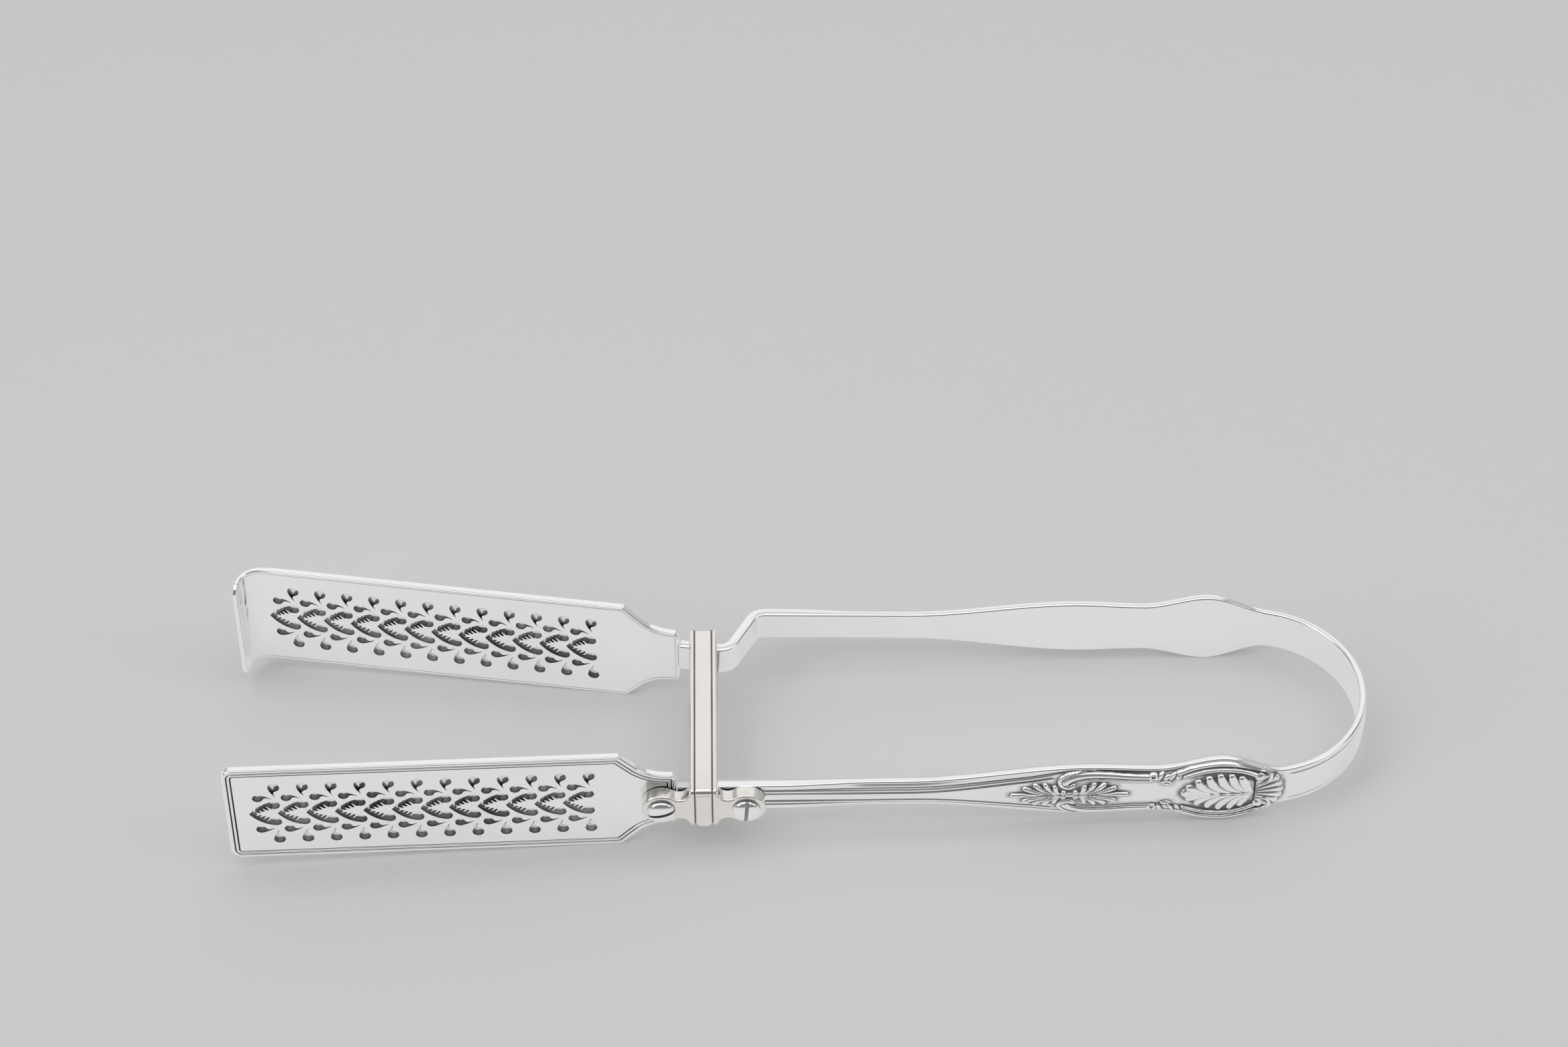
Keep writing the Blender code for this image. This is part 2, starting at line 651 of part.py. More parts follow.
def main():
    for obj in list(bpy.data.objects):
        bpy.data.objects.remove(obj, do_unlink=True)

    tongs = empty("tongs", (0, 0, 0))
    tongs.rotation_euler = (0, rest_tilt(), 0)
    mean_radius = BOW_INNER_RADIUS + BOW_EDGE / 2
    flex_pole = Vector((2 * mean_radius / math.pi, 0, 0))
    hinge = empty("squeeze_hinge", flex_pole, tongs)

    add_bow(tongs)
    front_handle = add_handle("front_handle", FRONT, tongs, Vector((0, 0, 0)))
    add_handle("rear_handle", REAR, hinge, flex_pole)
    add_front_blade(tongs)
    add_rear_blade(hinge, flex_pole)

    centre, turn, front, ear = add_guide(tongs)
    spin = Matrix.Rotation(turn, 3, "Z")
    tip_place = centre + spin @ Vector((-ear, 0, 0))
    bow_place = centre + spin @ Vector((ear, 0, 0))
    add_screw("guide_screw_tip_side", tongs, tip_place, turn, front, TIP_SCREW_TURN)
    add_screw("guide_screw_bow_side", tongs, bow_place, turn, front, BOW_SCREW_TURN)
    boolean(front_handle, "DIFFERENCE", bpy.data.objects["guide_bow_hole"])
    stand_on_floor(tongs)


main()
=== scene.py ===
"""Asparagus tongs in table silver: the finished surfaces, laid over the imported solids.

Every piece is worked out in the tongs' own frame, whose X runs from the blade tips to the bow, whose Y runs
from the front arm to the rear arm and whose origin is the centre of the bow. The frame's hinge gives the
place and the tilt of that frame on the floor. An arm is measured by its station, the distance down the arm
from the end of the bow's arc.
"""

import json
import math

import bmesh
import bpy
import numpy as np
from bpy.props import FloatProperty, FloatVectorProperty, IntProperty, PointerProperty
from mathutils import Matrix, Vector
from mathutils.geometry import tessellate_polygon

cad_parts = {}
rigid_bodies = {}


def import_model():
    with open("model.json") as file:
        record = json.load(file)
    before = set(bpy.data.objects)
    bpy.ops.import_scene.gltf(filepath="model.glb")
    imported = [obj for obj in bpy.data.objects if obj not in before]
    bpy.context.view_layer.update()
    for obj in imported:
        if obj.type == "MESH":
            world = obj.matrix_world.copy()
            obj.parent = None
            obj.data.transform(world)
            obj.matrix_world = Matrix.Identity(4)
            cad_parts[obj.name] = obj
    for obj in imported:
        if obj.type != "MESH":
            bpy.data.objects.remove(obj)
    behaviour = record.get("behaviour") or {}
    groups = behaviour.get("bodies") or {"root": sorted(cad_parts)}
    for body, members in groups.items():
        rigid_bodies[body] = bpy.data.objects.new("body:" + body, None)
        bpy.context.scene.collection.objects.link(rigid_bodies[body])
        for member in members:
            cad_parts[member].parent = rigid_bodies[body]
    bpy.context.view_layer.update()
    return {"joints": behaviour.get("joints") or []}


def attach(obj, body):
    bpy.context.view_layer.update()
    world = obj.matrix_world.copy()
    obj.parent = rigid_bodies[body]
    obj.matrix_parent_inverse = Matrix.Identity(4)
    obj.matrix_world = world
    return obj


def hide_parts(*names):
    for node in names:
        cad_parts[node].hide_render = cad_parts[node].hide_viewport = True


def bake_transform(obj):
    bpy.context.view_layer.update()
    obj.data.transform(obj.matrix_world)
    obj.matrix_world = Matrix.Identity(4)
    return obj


bl_info = {
    "name": "Asparagus Tongs",
    "version": (1, 0, 0),
    "blender": (4, 5, 0),
    "location": "3D View > Sidebar > Tongs",
    "description": "Builds the finished silver surfaces of a pair of asparagus tongs",
    "category": "Add Mesh",
}

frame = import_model()
HINGE = frame["joints"][0]

MM = 0.001
DEGREE = math.pi / 180
FRONT, REAR = -1, 1
FRONT_BODY, REAR_BODY = HINGE["parent"], HINGE["child"]


def length(name, description, default):
    """A length property, given in millimetres and kept in metres."""
    return FloatProperty(
        name=name, description=description, default=default * MM, unit="LENGTH", precision=5
    )


def angle(name, description, default):
    """An angle property, given in degrees and kept in radians."""
    return FloatProperty(name=name, description=description, default=default * DEGREE, subtype="ANGLE")


def fraction(name, description, default):
    """A property between 0 and 1."""
    return FloatProperty(
        name=name, description=description, default=default, subtype="FACTOR", min=0, max=1
    )


def colour(name, description, default):
    """A colour property in linear red, green and blue."""
    return FloatVectorProperty(
        name=name, description=description, default=default, size=3, subtype="COLOR", min=0, max=1
    )


class TongsArmSizes(bpy.types.PropertyGroup):
    """Sizes of the bow and of the two handles."""

    bow_radius: length("Bow radius", "Inside radius of the spring bow", 22.3)
    bow_half_width: length("Bow half width", "Half the height of the bow's strip", 5.3)
    bow_edge: length("Bow edge", "Thickness of the bow's strip at its edges", 1.5)
    bow_crown: length("Bow crown", "Rise of the bow's outer face over its edges", 0.25)
    splay: angle("Splay", "Angle by which each handle opens from the bow", 0.7)
    overlap: length("Arc overlap", "Stretch of the bow's arc that belongs to each handle", 4.5)
    lobe_station: length("Lobe station", "Where the handle is widest", 9.5)
    lobe_half_width: length("Lobe half width", "Half width at the lobe", 9.7)
    waist_station: length("Waist station", "Where the handle draws in", 23.5)
    waist_half_width: length("Waist half width", "Half width at the waist", 6.8)
    shield_station: length("Shield station", "Where the second lobe is widest", 38.0)
    shield_half_width: length("Shield half width", "Half width at the second lobe", 7.4)
    stem_station: length("Stem station", "Where the narrow stem starts", 76.0)
    stem_half_width: length("Stem half width", "Half width of the stem", 3.7)
    stem_length: length("Stem length", "Distance from the bow's arc to the crank", 109.0)
    edge: length("Edge", "Thickness of the handle at its edges", 1.7)
    crown: length("Crown", "Rise of the handle's outer face over its edges", 0.9)
    neck_thickness: length("Neck thickness", "Thickness of the flat neck", 2.4)
    neck_length: length("Neck length", "Length of the neck up to the blade", 11.8)
    flat_run: length("Flat run", "Stretch over which the stem flattens to the neck", 20.0)
    flat_end: length("Flat end", "Flat stretch of the stem before the crank", 5.0)
    crank_run: length("Crank run", "How far along the arm the crank reaches", 5.8)
    crank_drop: length("Crank drop", "How far the rear crank carries the neck inwards", 11.0)
    crank_radius: length("Crank radius", "Inner radius of the crank's bends", 2.2)
    joint_gap: length("Joint gap", "Gap at a soldered joint", 0.3)
    corner: length("Corner", "Rounding of the handle's edges", 0.45)


class TongsBladeSizes(bpy.types.PropertyGroup):
    """Sizes of the two pierced blades."""

    thickness: length("Thickness", "Thickness of a blade", 1.6)
    half_width: length("Half width", "Half the height of a blade", 14.2)
    front_length: length("Front length", "Length of the front blade", 96.5)
    rear_length: length("Rear flat length", "Length of the rear blade up to its lip", 93.3)
    front_splay: angle("Front splay", "Angle by which the front blade opens", 2.4)
    rear_splay: angle("Rear splay", "Angle by which the rear blade opens", 8.3)
    root_half_width: length("Root half width", "Half height of the blade's step", 7.5)
    shoulder_land: length("Shoulder land", "Level run beside the step", 1.5)
    shoulder_radius: length("Shoulder radius", "Radius of the hollow shoulder", 10.0)
    shoulder_sweep: angle("Shoulder sweep", "Turn of the hollow shoulder", 47.0)
    root_corner: length("Root corner", "Rounding of the step's corners", 1.3)
    shoulder_corner: length("Shoulder corner", "Rounding where the shoulder meets the long edge", 1.2)
    tip_corner: length("Tip corner", "Rounding of the tip's corners", 2.5)
    lip_radius: length("Lip radius", "Inside radius of the rear blade's bend", 4.0)
    lip_angle: angle("Lip angle", "Turn of the rear blade's lip", 88.0)
    lip_straight: length("Lip straight", "Straight run at the end of the lip", 2.8)
    lip_thinning: fraction("Lip thinning", "Share of its thickness that the lip loses at its end", 0.45)
    pitch: length("Pitch", "Length of one cell of the piercing", 6.1)
    front_tip_margin: length("Front tip margin", "Plain metal past the piercing on the front blade", 5.0)
    rear_tip_margin: length("Rear tip margin", "Plain metal past the piercing on the rear blade", 1.0)
    cells: IntProperty(name="Cells", description="Cells of piercing along a blade", default=12, min=1)
    hole_bevel: length("Hole bevel", "Rounding of the pierced holes' rims", 0.08)
    reed_depth: length("Reed depth", "Depth of the reeded border", 0.28)


class TongsGuideSizes(bpy.types.PropertyGroup):
    """Sizes of the guide loop and its screws."""

    strap_width: length("Strap width", "Width of the guide's strap", 6.0)
    strap_thickness: length("Strap thickness", "Thickness of the guide's strap", 1.6)
    strap_corner: length("Strap corner", "Rounding of the loop's corners", 1.2)
    clearance: length("Clearance", "Room between the loop and the necks", 0.35)
    panel_half_width: length("Panel half width", "Half width of the strap's middle panel", 1.75)
    plate_thickness: length("Plate thickness", "Thickness of the eared plate", 2.8)
    ear_radius: length("Ear radius", "Radius of the plate's round ears", 4.2)
    ear_fillet: length("Ear fillet", "Radius of the hollows between ears and strap", 2.2)
    screw_inset: length("Screw inset", "Distance of a screw past the neck's end", 3.2)
    head_radius: length("Head radius", "Radius of a screw's head", 3.0)
    head_height: length("Head height", "Height of a screw's head", 1.7)
    head_rim: length("Head rim", "Straight rim under the dome", 0.4)
    slot_width: length("Slot width", "Width of a screw's slot", 0.75)
    slot_depth: length("Slot depth", "Depth of a screw's slot", 0.8)
    tip_screw_turn: angle("Tip screw turn", "Turn of the slot of the screw by the tips", 76.0)
    bow_screw_turn: angle("Bow screw turn", "Turn of the slot of the screw by the bow", 4.0)


class TongsFinish(bpy.types.PropertyGroup):
    """Colours and polish of the silver."""

    polished: colour("Polished silver", "Colour of the polished silver", (0.93, 0.925, 0.93))
    warm: colour("Guide silver", "Colour of the guide's warmer silver", (0.86, 0.835, 0.79))
    # Painted shade: the dark colour that the silver takes in its recesses, hole walls, slot and seams; on
    # the front neck it stands for tarnish
    shade_and_tarnish: colour("Tarnish", "Colour of the silver in the recesses", (0.045, 0.042, 0.045))
    bow_roughness: fraction("Bow roughness", "Roughness of the bow's polish", 0.14)
    handle_roughness: fraction("Handle roughness", "Roughness of the handles' polish", 0.17)
    blade_roughness: fraction("Blade roughness", "Roughness of the blades' polish", 0.13)
    guide_roughness: fraction("Guide roughness", "Roughness of the guide's polish", 0.2)
    screw_roughness: fraction("Screw roughness", "Roughness of the screws' polish", 0.16)


class TongsStage(bpy.types.PropertyGroup):
    """Camera and floor."""

    elevation: angle("Elevation", "Height of the camera over the tongs", 46.349)
    heading: angle("Heading", "Turn of the tongs about the upright", 0.165)
    pitch: angle("Pitch", "Tilt of the tongs in the view", -0.208)
    distance: length("Distance", "Distance of the camera", 992.48)
    aim: FloatVectorProperty(
        name="Aim",
        description="Bow's centre from the view's middle",
        default=(0.103084, -0.054656, 0.0),
        unit="LENGTH",
    )
    lens: FloatProperty(name="Lens", description="Focal length", default=100.17, unit="CAMERA")
    floor: colour("Floor", "Colour of the floor", (0.82, 0.82, 0.82))
    floor_shine: fraction("Floor shine", "Share of plain white in the floor that the silver mirrors", 0.42)
    far_floor: fraction("Far floor", "Brightness of the floor and of the surround far from the tongs", 0.6)


def sizes(group):
    """One of the scene's groups of sizes, by the last word of its name."""
    return getattr(bpy.context.scene, "tongs_" + group)


# Places


def tongs_frame():
    """Turn and origin of the tongs' frame.

    The hinge's axis is its Z, and the hinge stands 2 r / pi from the bow's centre.
    """
    arm = sizes("arm")
    axis = HINGE["axis"]
    tilt = math.atan2(axis[0], axis[2])
    turn = np.array(Matrix.Rotation(tilt, 3, "Y"))
    pole = 2 * (arm.bow_radius + arm.bow_edge / 2) / math.pi
    return turn, np.array(HINGE["pos_m"]) - turn @ np.array([pole, 0, 0])


def to_world(points):
    """Points of the tongs' frame in the world."""
    turn, origin = tongs_frame()
    return points @ turn.T + origin


def spin(points, turn, origin):
    """Points turned about Z and then moved to an origin."""
    c, s = math.cos(turn), math.sin(turn)
    x, y, z = np.moveaxis(points, -1, 0)
    return np.stack([x * c - y * s, x * s + y * c, z], -1) + origin


def bow_end(side):
    """Start of an arm: the end of the bow's arc, and the arm's turn about Z."""
    arm = sizes("arm")
    around = math.pi / 2 - arm.splay
    return np.array([math.cos(around), side * math.sin(around), 0]) * arm.bow_radius, -side * arm.splay


def neck_line(side):
    """Start and direction of the neck in its arm's frame."""
    arm, blade = sizes("arm"), sizes("blade")
    drop = arm.crank_drop if side == REAR else 0.0
    splay = blade.rear_splay - arm.splay if side == REAR else 0.0
    start = np.array([-arm.stem_length - arm.crank_run, -drop])
    return start, np.array([-math.cos(splay), side * math.sin(splay)])


def blade_root(side):
    """Neck's start, blade's root and blade's turn about Z in the tongs' frame."""
    arm, blade = sizes("arm"), sizes("blade")
    origin, turn = bow_end(side)
    start, along = neck_line(side)
    root = start + along * arm.neck_length
    flat = np.array([[*start, 0.0], [*root, 0.0]])
    start, root = spin(flat, turn, origin)
    return start, root, -side * (blade.rear_splay if side == REAR else blade.front_splay)


# Curves and meshes


def smooth_step(t):
    """Ease from 0 to 1: 3 t^2 - 2 t^3, level outside that range."""
    t = np.clip(t, 0, 1)
    return t * t * (3 - 2 * t)


def bell(x, middle, width):
    """Bell curve of height 1: exp(-((x - middle) / width)^2)."""
    return np.exp(-(((x - middle) / width) ** 2))


def dome(x, middle, half_width):
    """Parabola of height 1 that meets zero at a half width on each side, and zero outside."""
    return np.clip(1 - ((x - middle) / half_width) ** 2, 0, None)


def through(stations, values, s):
    """Curve that is level at each station and eases from one value to the next."""
    k = np.clip(np.searchsorted(stations, s) - 1, 0, len(stations) - 2)
    low, high = np.take(stations, k), np.take(stations, k + 1)
    return np.take(values, k) + np.diff(values)[k] * smooth_step((s - low) / (high - low))


def arc(centre, radius, start, sweep, steps):
    """Points of an arc, both ends included."""
    around = start + sweep * np.linspace(0, 1, steps + 1)
    return np.stack([centre[0] + radius * np.cos(around), centre[1] + radius * np.sin(around)], -1)


def bend(start, handle, end, steps):
    """Points of a quadratic curve that leaves start towards handle and arrives at end."""
    t = np.linspace(0, 1, steps + 1)[:, None]
    start, handle, end = (np.asarray(point) for point in (start, handle, end))
    return (1 - t) ** 2 * start + 2 * t * (1 - t) * handle + t ** 2 * end


def spline(points, steps=8):
    """Curve through points: each span is a cubic whose end slopes run from neighbour to neighbour."""
    p = np.asarray(points, float)
    p = np.vstack([2 * p[0] - p[1], p, 2 * p[-1] - p[-2]])
    t = np.linspace(0, 1, steps, endpoint=False)[None, :, None]
    a, b, c, d = (p[k:len(p) - 3 + k][:, None] for k in range(4))
    square, cube = 2 * a - 5 * b + 4 * c - d, 3 * b - a - 3 * c + d
    spans = 0.5 * (2 * b + (c - a) * t + square * t ** 2 + cube * t ** 3)
    return np.vstack([spans.reshape(-1, p.shape[1]), p[-2:-1]])


def offset(loop, distance):
    """Closed plane loop moved to its left, each point along the mean normal of its two edges."""
    edge = np.roll(loop, -1, 0) - loop
    edge /= np.linalg.norm(edge, axis=1, keepdims=True)
    normal = np.stack([-edge[:, 1], edge[:, 0]], -1)
    mean = normal + np.roll(normal, 1, 0)
    scale = np.clip((mean * mean).sum(1, keepdims=True) / 2, 0.5, None)
    return loop + mean / scale * distance


def grid_faces(rows, columns, wrap_rows=False, wrap_columns=True):
    """Quads of a grid whose point (i, j) has index i * columns + j."""
    i = np.arange(rows if wrap_rows else rows - 1)[:, None]
    j = np.arange(columns if wrap_columns else columns - 1)[None, :]
    i2, j2 = (i + 1) % rows, (j + 1) % columns
    corners = [i * columns + j, i * columns + j2, i2 * columns + j2, i2 * columns + j]
    return np.stack([np.broadcast_to(c, (i.size, j.size)).ravel() for c in corners], -1)


def lift(plane, third):
    """Plane points with a third coordinate."""
    return np.concatenate([plane, np.broadcast_to(third, (*plane.shape[:-1], 1))], -1)


def new_piece(name, points, faces, material, cavity=None, sharp=40 * DEGREE):
    """Mesh object from points in the tongs' frame and arrays of faces with 3, 4 or more corners."""
    mesh = bpy.data.meshes.new(name)
    mesh.vertices.add(len(points))
    mesh.vertices.foreach_set("co", to_world(points).astype(np.float32).ravel())
    corners = np.concatenate([f.ravel() for f in faces]).astype(np.int32)
    counts = np.concatenate([np.full(len(f), f.shape[1]) for f in faces])
    mesh.loops.add(len(corners))
    mesh.loops.foreach_set("vertex_index", corners)
    mesh.polygons.add(len(counts))
    mesh.polygons.foreach_set("loop_start", (np.cumsum(counts) - counts).astype(np.int32))
    mesh.update(calc_edges=True)
    mesh.validate()
    solid = bmesh.new()
    solid.from_mesh(mesh)
    bmesh.ops.recalc_face_normals(solid, faces=solid.faces)
    solid.to_mesh(mesh)
    solid.free()
    mesh.shade_smooth()
    mesh.set_sharp_from_angle(angle=sharp)
    # The cavity attribute holds each point's painted shade, and on the front neck its tarnish
    cavity = np.zeros(len(points)) if cavity is None else cavity
    shade = mesh.attributes.new("cavity", "FLOAT", "POINT")
    shade.data.foreach_set("value", cavity.astype(np.float32))
    mesh.materials.append(material)
    obj = bpy.data.objects.new(name, mesh)
    bpy.context.scene.collection.objects.link(obj)
    return obj


def settle(obj, body, node):
    """Lets a piece ride on a body and stand for a node."""
    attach(obj, body)
    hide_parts(node)


# Silver

# Noise scales are cells to the metre
PATCH_SCALE, BLOOM_SCALE, WEAR_SCALE, SWELL_SCALE, SCRATCH_SCALE = 70, 28, 160, 45, 700
SCRATCH_STRETCH = (0.12, 1, 1)
# Spans of noise that are spread over a range of strengths
PATCH_RANGE, BLOOM_RANGE, WEAR_RANGE = (0.35, 0.75), (0.45, 0.8), (0.3, 0.75)
# The middle strength scales the painted shade in recesses and the front neck's tarnish
PATCH_STRENGTH, SHADE_AND_TARNISH_STRENGTH, BLOOM_STRENGTH = (0.75, 1.0), 0.95, 0.05
RECESS_ROUGHNESS, WEAR_SMOOTHER, WEAR_ROUGHER = 0.3, 0.03, 0.06
SCRATCH_STRENGTH, SCRATCH_DEPTH = 0.05, 0.2 * MM
SWELL_STRENGTH, SWELL_DEPTH = 0.06, 2 * MM


def silver(name, base, roughness):
    """Polished silver: darkened by the painted shade and the tarnish that its pieces mark, with handling
    scratches and a faintly uneven polish.
    """
    material = bpy.data.materials.new(name)
    material.use_nodes = True
    nodes, links = material.node_tree.nodes, material.node_tree.links
    shader = nodes["Principled BSDF"]
    shader.inputs["Metallic"].default_value = 1.0
    place = nodes.new("ShaderNodeTexCoord")

    def noise(scale, detail, stretch=(1, 1, 1)):
        mapping = nodes.new("ShaderNodeMapping")
        mapping.inputs["Scale"].default_value = stretch
        links.new(place.outputs["Object"], mapping.inputs["Vector"])
        texture = nodes.new("ShaderNodeTexNoise")
        texture.inputs["Scale"].default_value = scale
        texture.inputs["Detail"].default_value = detail
        links.new(mapping.outputs["Vector"], texture.inputs["Vector"])
        return texture.outputs["Fac"]

    def ramp(source, span, target):
        node = nodes.new("ShaderNodeMapRange")
        links.new(source, node.inputs["Value"])
        for key, value in zip(("From Min", "From Max", "To Min", "To Max"), (*span, *target)):
            node.inputs[key].default_value = value
        return node.outputs["Result"]

    def combine(operation, a, b):
        node = nodes.new("ShaderNodeMath")
        node.operation = operation
        links.new(a, node.inputs[0])
        links.new(b, node.inputs[1])
        return node.outputs["Value"]

    def bump(height, strength, depth):
        node = nodes.new("ShaderNodeBump")
        node.inputs["Strength"].default_value = strength
        node.inputs["Distance"].default_value = depth
        links.new(height, node.inputs["Height"])
        return node

    # Painted shade: the attribute marks recesses, hole walls and seams, where the silver darkens towards
    # the dark colour; on the front neck it marks tarnish instead
    recess = nodes.new("ShaderNodeAttribute")
    recess.attribute_name = "cavity"
    patches = ramp(noise(PATCH_SCALE, 3), PATCH_RANGE, PATCH_STRENGTH)
    deep = ramp(recess.outputs["Fac"], (0, 1), (0, SHADE_AND_TARNISH_STRENGTH))
    dark = combine("MULTIPLY", deep, patches)
    bloom = ramp(noise(BLOOM_SCALE, 4), BLOOM_RANGE, (0, BLOOM_STRENGTH))
    mix = nodes.new("ShaderNodeMix")
    mix.data_type = "RGBA"
    links.new(combine("ADD", dark, bloom), mix.inputs["Factor"])
    mix.inputs["A"].default_value = (*base, 1)
    mix.inputs["B"].default_value = (*sizes("finish").shade_and_tarnish, 1)
    links.new(mix.outputs["Result"], shader.inputs["Base Color"])

    wear = ramp(noise(WEAR_SCALE, 5), WEAR_RANGE, (roughness - WEAR_SMOOTHER, roughness + WEAR_ROUGHER))
    rough = combine("ADD", wear, ramp(recess.outputs["Fac"], (0, 1), (0, RECESS_ROUGHNESS)))
    links.new(rough, shader.inputs["Roughness"])

    scratches = bump(noise(SCRATCH_SCALE, 2, SCRATCH_STRETCH), SCRATCH_STRENGTH, SCRATCH_DEPTH)
    swell = bump(noise(SWELL_SCALE, 1), SWELL_STRENGTH, SWELL_DEPTH)
    links.new(scratches.outputs["Normal"], swell.inputs["Normal"])
    links.new(swell.outputs["Normal"], shader.inputs["Normal"])
    return material


# Relief on the handles, in millimetres on a grid of stations and heights

# Each rib has the points of its curve, its half widths at even steps along it, and its height
SCROLL_HOOK = (
    ((36.6, 6.75), (38.6, 6.7), (40.6, 6.4), (42.3, 5.9), (43.8, 5.0),
     (44.4, 3.9), (43.8, 2.7), (42.4, 2.2), (41.4, 2.7)),
    (0.12, 0.3, 0.5, 0.6, 0.6),
    0.55,
)
LONG_SCROLL = (
    ((43.1, 3.7), (42.1, 4.6), (40.3, 5.3), (37.5, 5.65), (34, 5.55), (30, 5.15), (25.4, 4.9)),
    (0.95, 0.6),
    0.7,
)
LONG_SCROLL_LINE = (((40.4, 3.9), (37.5, 4.3), (33, 4.2), (28, 3.85), (25.0, 3.8)), (0.25, 0.3), 0.3)
ROUND_SCROLL = (
    ((18.8, 6.0), (16, 7.35), (13.5, 8.15), (10.5, 8.6), (7.5, 8.45), (4.5, 7.7),
     (2.2, 6.9), (0.2, 6.2), (-0.9, 5.1), (-0.8, 3.6), (0.2, 2.5), (1.8, 2.3)),
    (0.62, 0.45),
    0.75,
)
ROUND_SCROLL_LINE = (
    ((17.6, 4.9), (14.4, 6.2), (11, 6.9), (8, 6.85), (5.6, 6.4), (3.6, 5.6), (2.2, 4.8)),
    (0.45, 0.55),
    0.7,
)
SCROLL_BOSS = (((1.25, 4.35), (1.5, 4.25)), (1.1, 1.1), 0.85)
SCROLLS = (SCROLL_HOOK, LONG_SCROLL, LONG_SCROLL_LINE, ROUND_SCROLL, ROUND_SCROLL_LINE, SCROLL_BOSS)
RIB_POWER = 0.6

ROSETTE, ROSETTE_RADIUS, ROSETTE_RIB = (24.3, 4.8), 0.72, ((0.42, 0.42), 0.65)
HUSK_LEAVES = (
    ((23.2, 4.0), (22.9, 5.0), (22.3, 5.9)),
    ((21.9, 4.0), (21.5, 4.7), (20.8, 5.3)),
    ((20.8, 4.1), (20.3, 5.1), (19.5, 6.0)),
    ((19.4, 4.3), (19.0, 5.0), (18.3, 5.5)),
    ((22.4, 3.3), (21.5, 3.1), (20.4, 3.1)),
)
HUSK_RIB = ((0.2, 0.45, 0.6, 0.5, 0.25), 0.55)

ACANTHUS_TIPS = ((5.3, 4.0), (7.5, 4.8), (9.9, 4.9), (12.3, 4.3), (14.6, 3.3), (16.5, 1.8), (17.5, 0.2))
ACANTHUS_ROOT, ACANTHUS_END, MIDRIB = 2.9, 17.0, ((0.55, 0.35), 0.85)
LOBE_LENGTH, LOBE_LEAN, LOBE_FOOT, LOBE_LIFT = 5.5, 1.0, 0.3, 0.12
LOBE_RIB = ((0.45, 0.85, 1.25, 1.4, 0.85), 0.8)
MOUND_MIDDLE, MOUND_HALF_LENGTH, MOUND_HALF_WIDTH, MOUND_HEIGHT = 8.5, 8, 4.6, 0.55

PALMETTE_TIPS = ((3.2, 2.3), (5.3, 3.0), (7.4, 2.9), (9.6, 2.0), (12.2, 0.0))
PALMETTE_KNOT, KNOT_HALF_LENGTH, KNOT_RIB = 42.2, 0.5, ((0.6, 0.6), 0.6)
PETAL_START, PETAL_FOOT, PETAL_BEND = 0.9, (0.15, 0.12), (0.66, 0.34)
PETAL_RIB = ((0.2, 0.25, 0.38, 0.66, 0.6), 0.65)
BEAD_PLACE, BEAD_RADIUS, BEAD_RIB = (1.3, 0.75), 0.32, ((0.34, 0.34), 0.55)

SHELL_CENTRE, SHELL_REACH, SHELL_FLUTES = 4.4, 8.2, 12
SHELL_BASE, SHELL_FLUTE, SHELL_SCALLOP, SHELL_EDGE = 0.2, 0.35, 0.35, 0.5
SHELL_HALF_WIDTH, SHELL_SIDE_EDGE = 5.2, 0.6
JOINT_LINE, JOINT_WIDTH, JOINT_HALF_LENGTH, JOINT_EDGE = 2.4, 0.16, 3.6, 0.3
JOINT_CUT, JOINT_DEPTH = 0.45, 0.08

THREAD_INSET, THREAD_SHIFT, THREAD_SPACING = 0.75, 0.75, 1.1
THREAD_WIDTH, OUTER_DEPTH, INNER_DEPTH = 0.2, 0.24, 0.22
BETWEEN_WIDTH, BETWEEN_HEIGHT = 0.3, 0.1
# Stations where a change starts, and the run that it takes
SHIFT_START, ARM_THREAD_START, STEM_THREAD_START = (40, 12), (16.5, 2), (45, 1.5)


def add_rib(field, s, z, curve, widths, height):
    """Raises a rounded rib along a curve: height * (1 - (distance / half width)^2)^power, where higher.

    A stretch that is under half as wide as the rib's widest is lower in proportion, so thin ends fade out.
    """
    curve = np.asarray(curve, float)
    reach = max(widths)
    near = (s > curve[:, 0].min() - reach) & (s < curve[:, 0].max() + reach)
    near &= (z > curve[:, 1].min() - reach) & (z < curve[:, 1].max() + reach)
    points = np.stack([s[near], z[near]], -1)[:, None]
    start, along = curve[None, :-1], np.diff(curve, axis=0)[None]
    t = np.clip(((points - start) * along).sum(-1) / (along ** 2).sum(-1), 0, 1)
    gap = np.linalg.norm(points - start - t[..., None] * along, axis=-1)
    share = (np.arange(along.shape[1]) + t) / along.shape[1]
    width = np.interp(share, np.linspace(0, 1, len(widths)), widths)
    rise = height * np.minimum(1, 2 * width / reach) * dome(gap, 0, width) ** RIB_POWER
    field[near] = np.maximum(field[near], rise.max(1))


def add_acanthus(field, s, z):
    """Raises the acanthus leaf: lobes that bend off a midrib, over a mound."""
    for reach, rise in ACANTHUS_TIPS:
        root = (max(reach - LOBE_LENGTH, ACANTHUS_ROOT), LOBE_FOOT)
        middle = (reach - LOBE_LEAN, LOBE_LIFT * rise + LOBE_FOOT)
        add_rib(field, s, z, bend(root, middle, (reach, rise), 12), *LOBE_RIB)
    add_rib(field, s, z, ((ACANTHUS_ROOT, 0.0), (ACANTHUS_END, 0.0)), *MIDRIB)
    mound = 1 - ((s - MOUND_MIDDLE) / MOUND_HALF_LENGTH) ** 2 - (z / MOUND_HALF_WIDTH) ** 2
    np.maximum(field, MOUND_HEIGHT * np.sqrt(np.clip(mound, 0, None)), out=field)


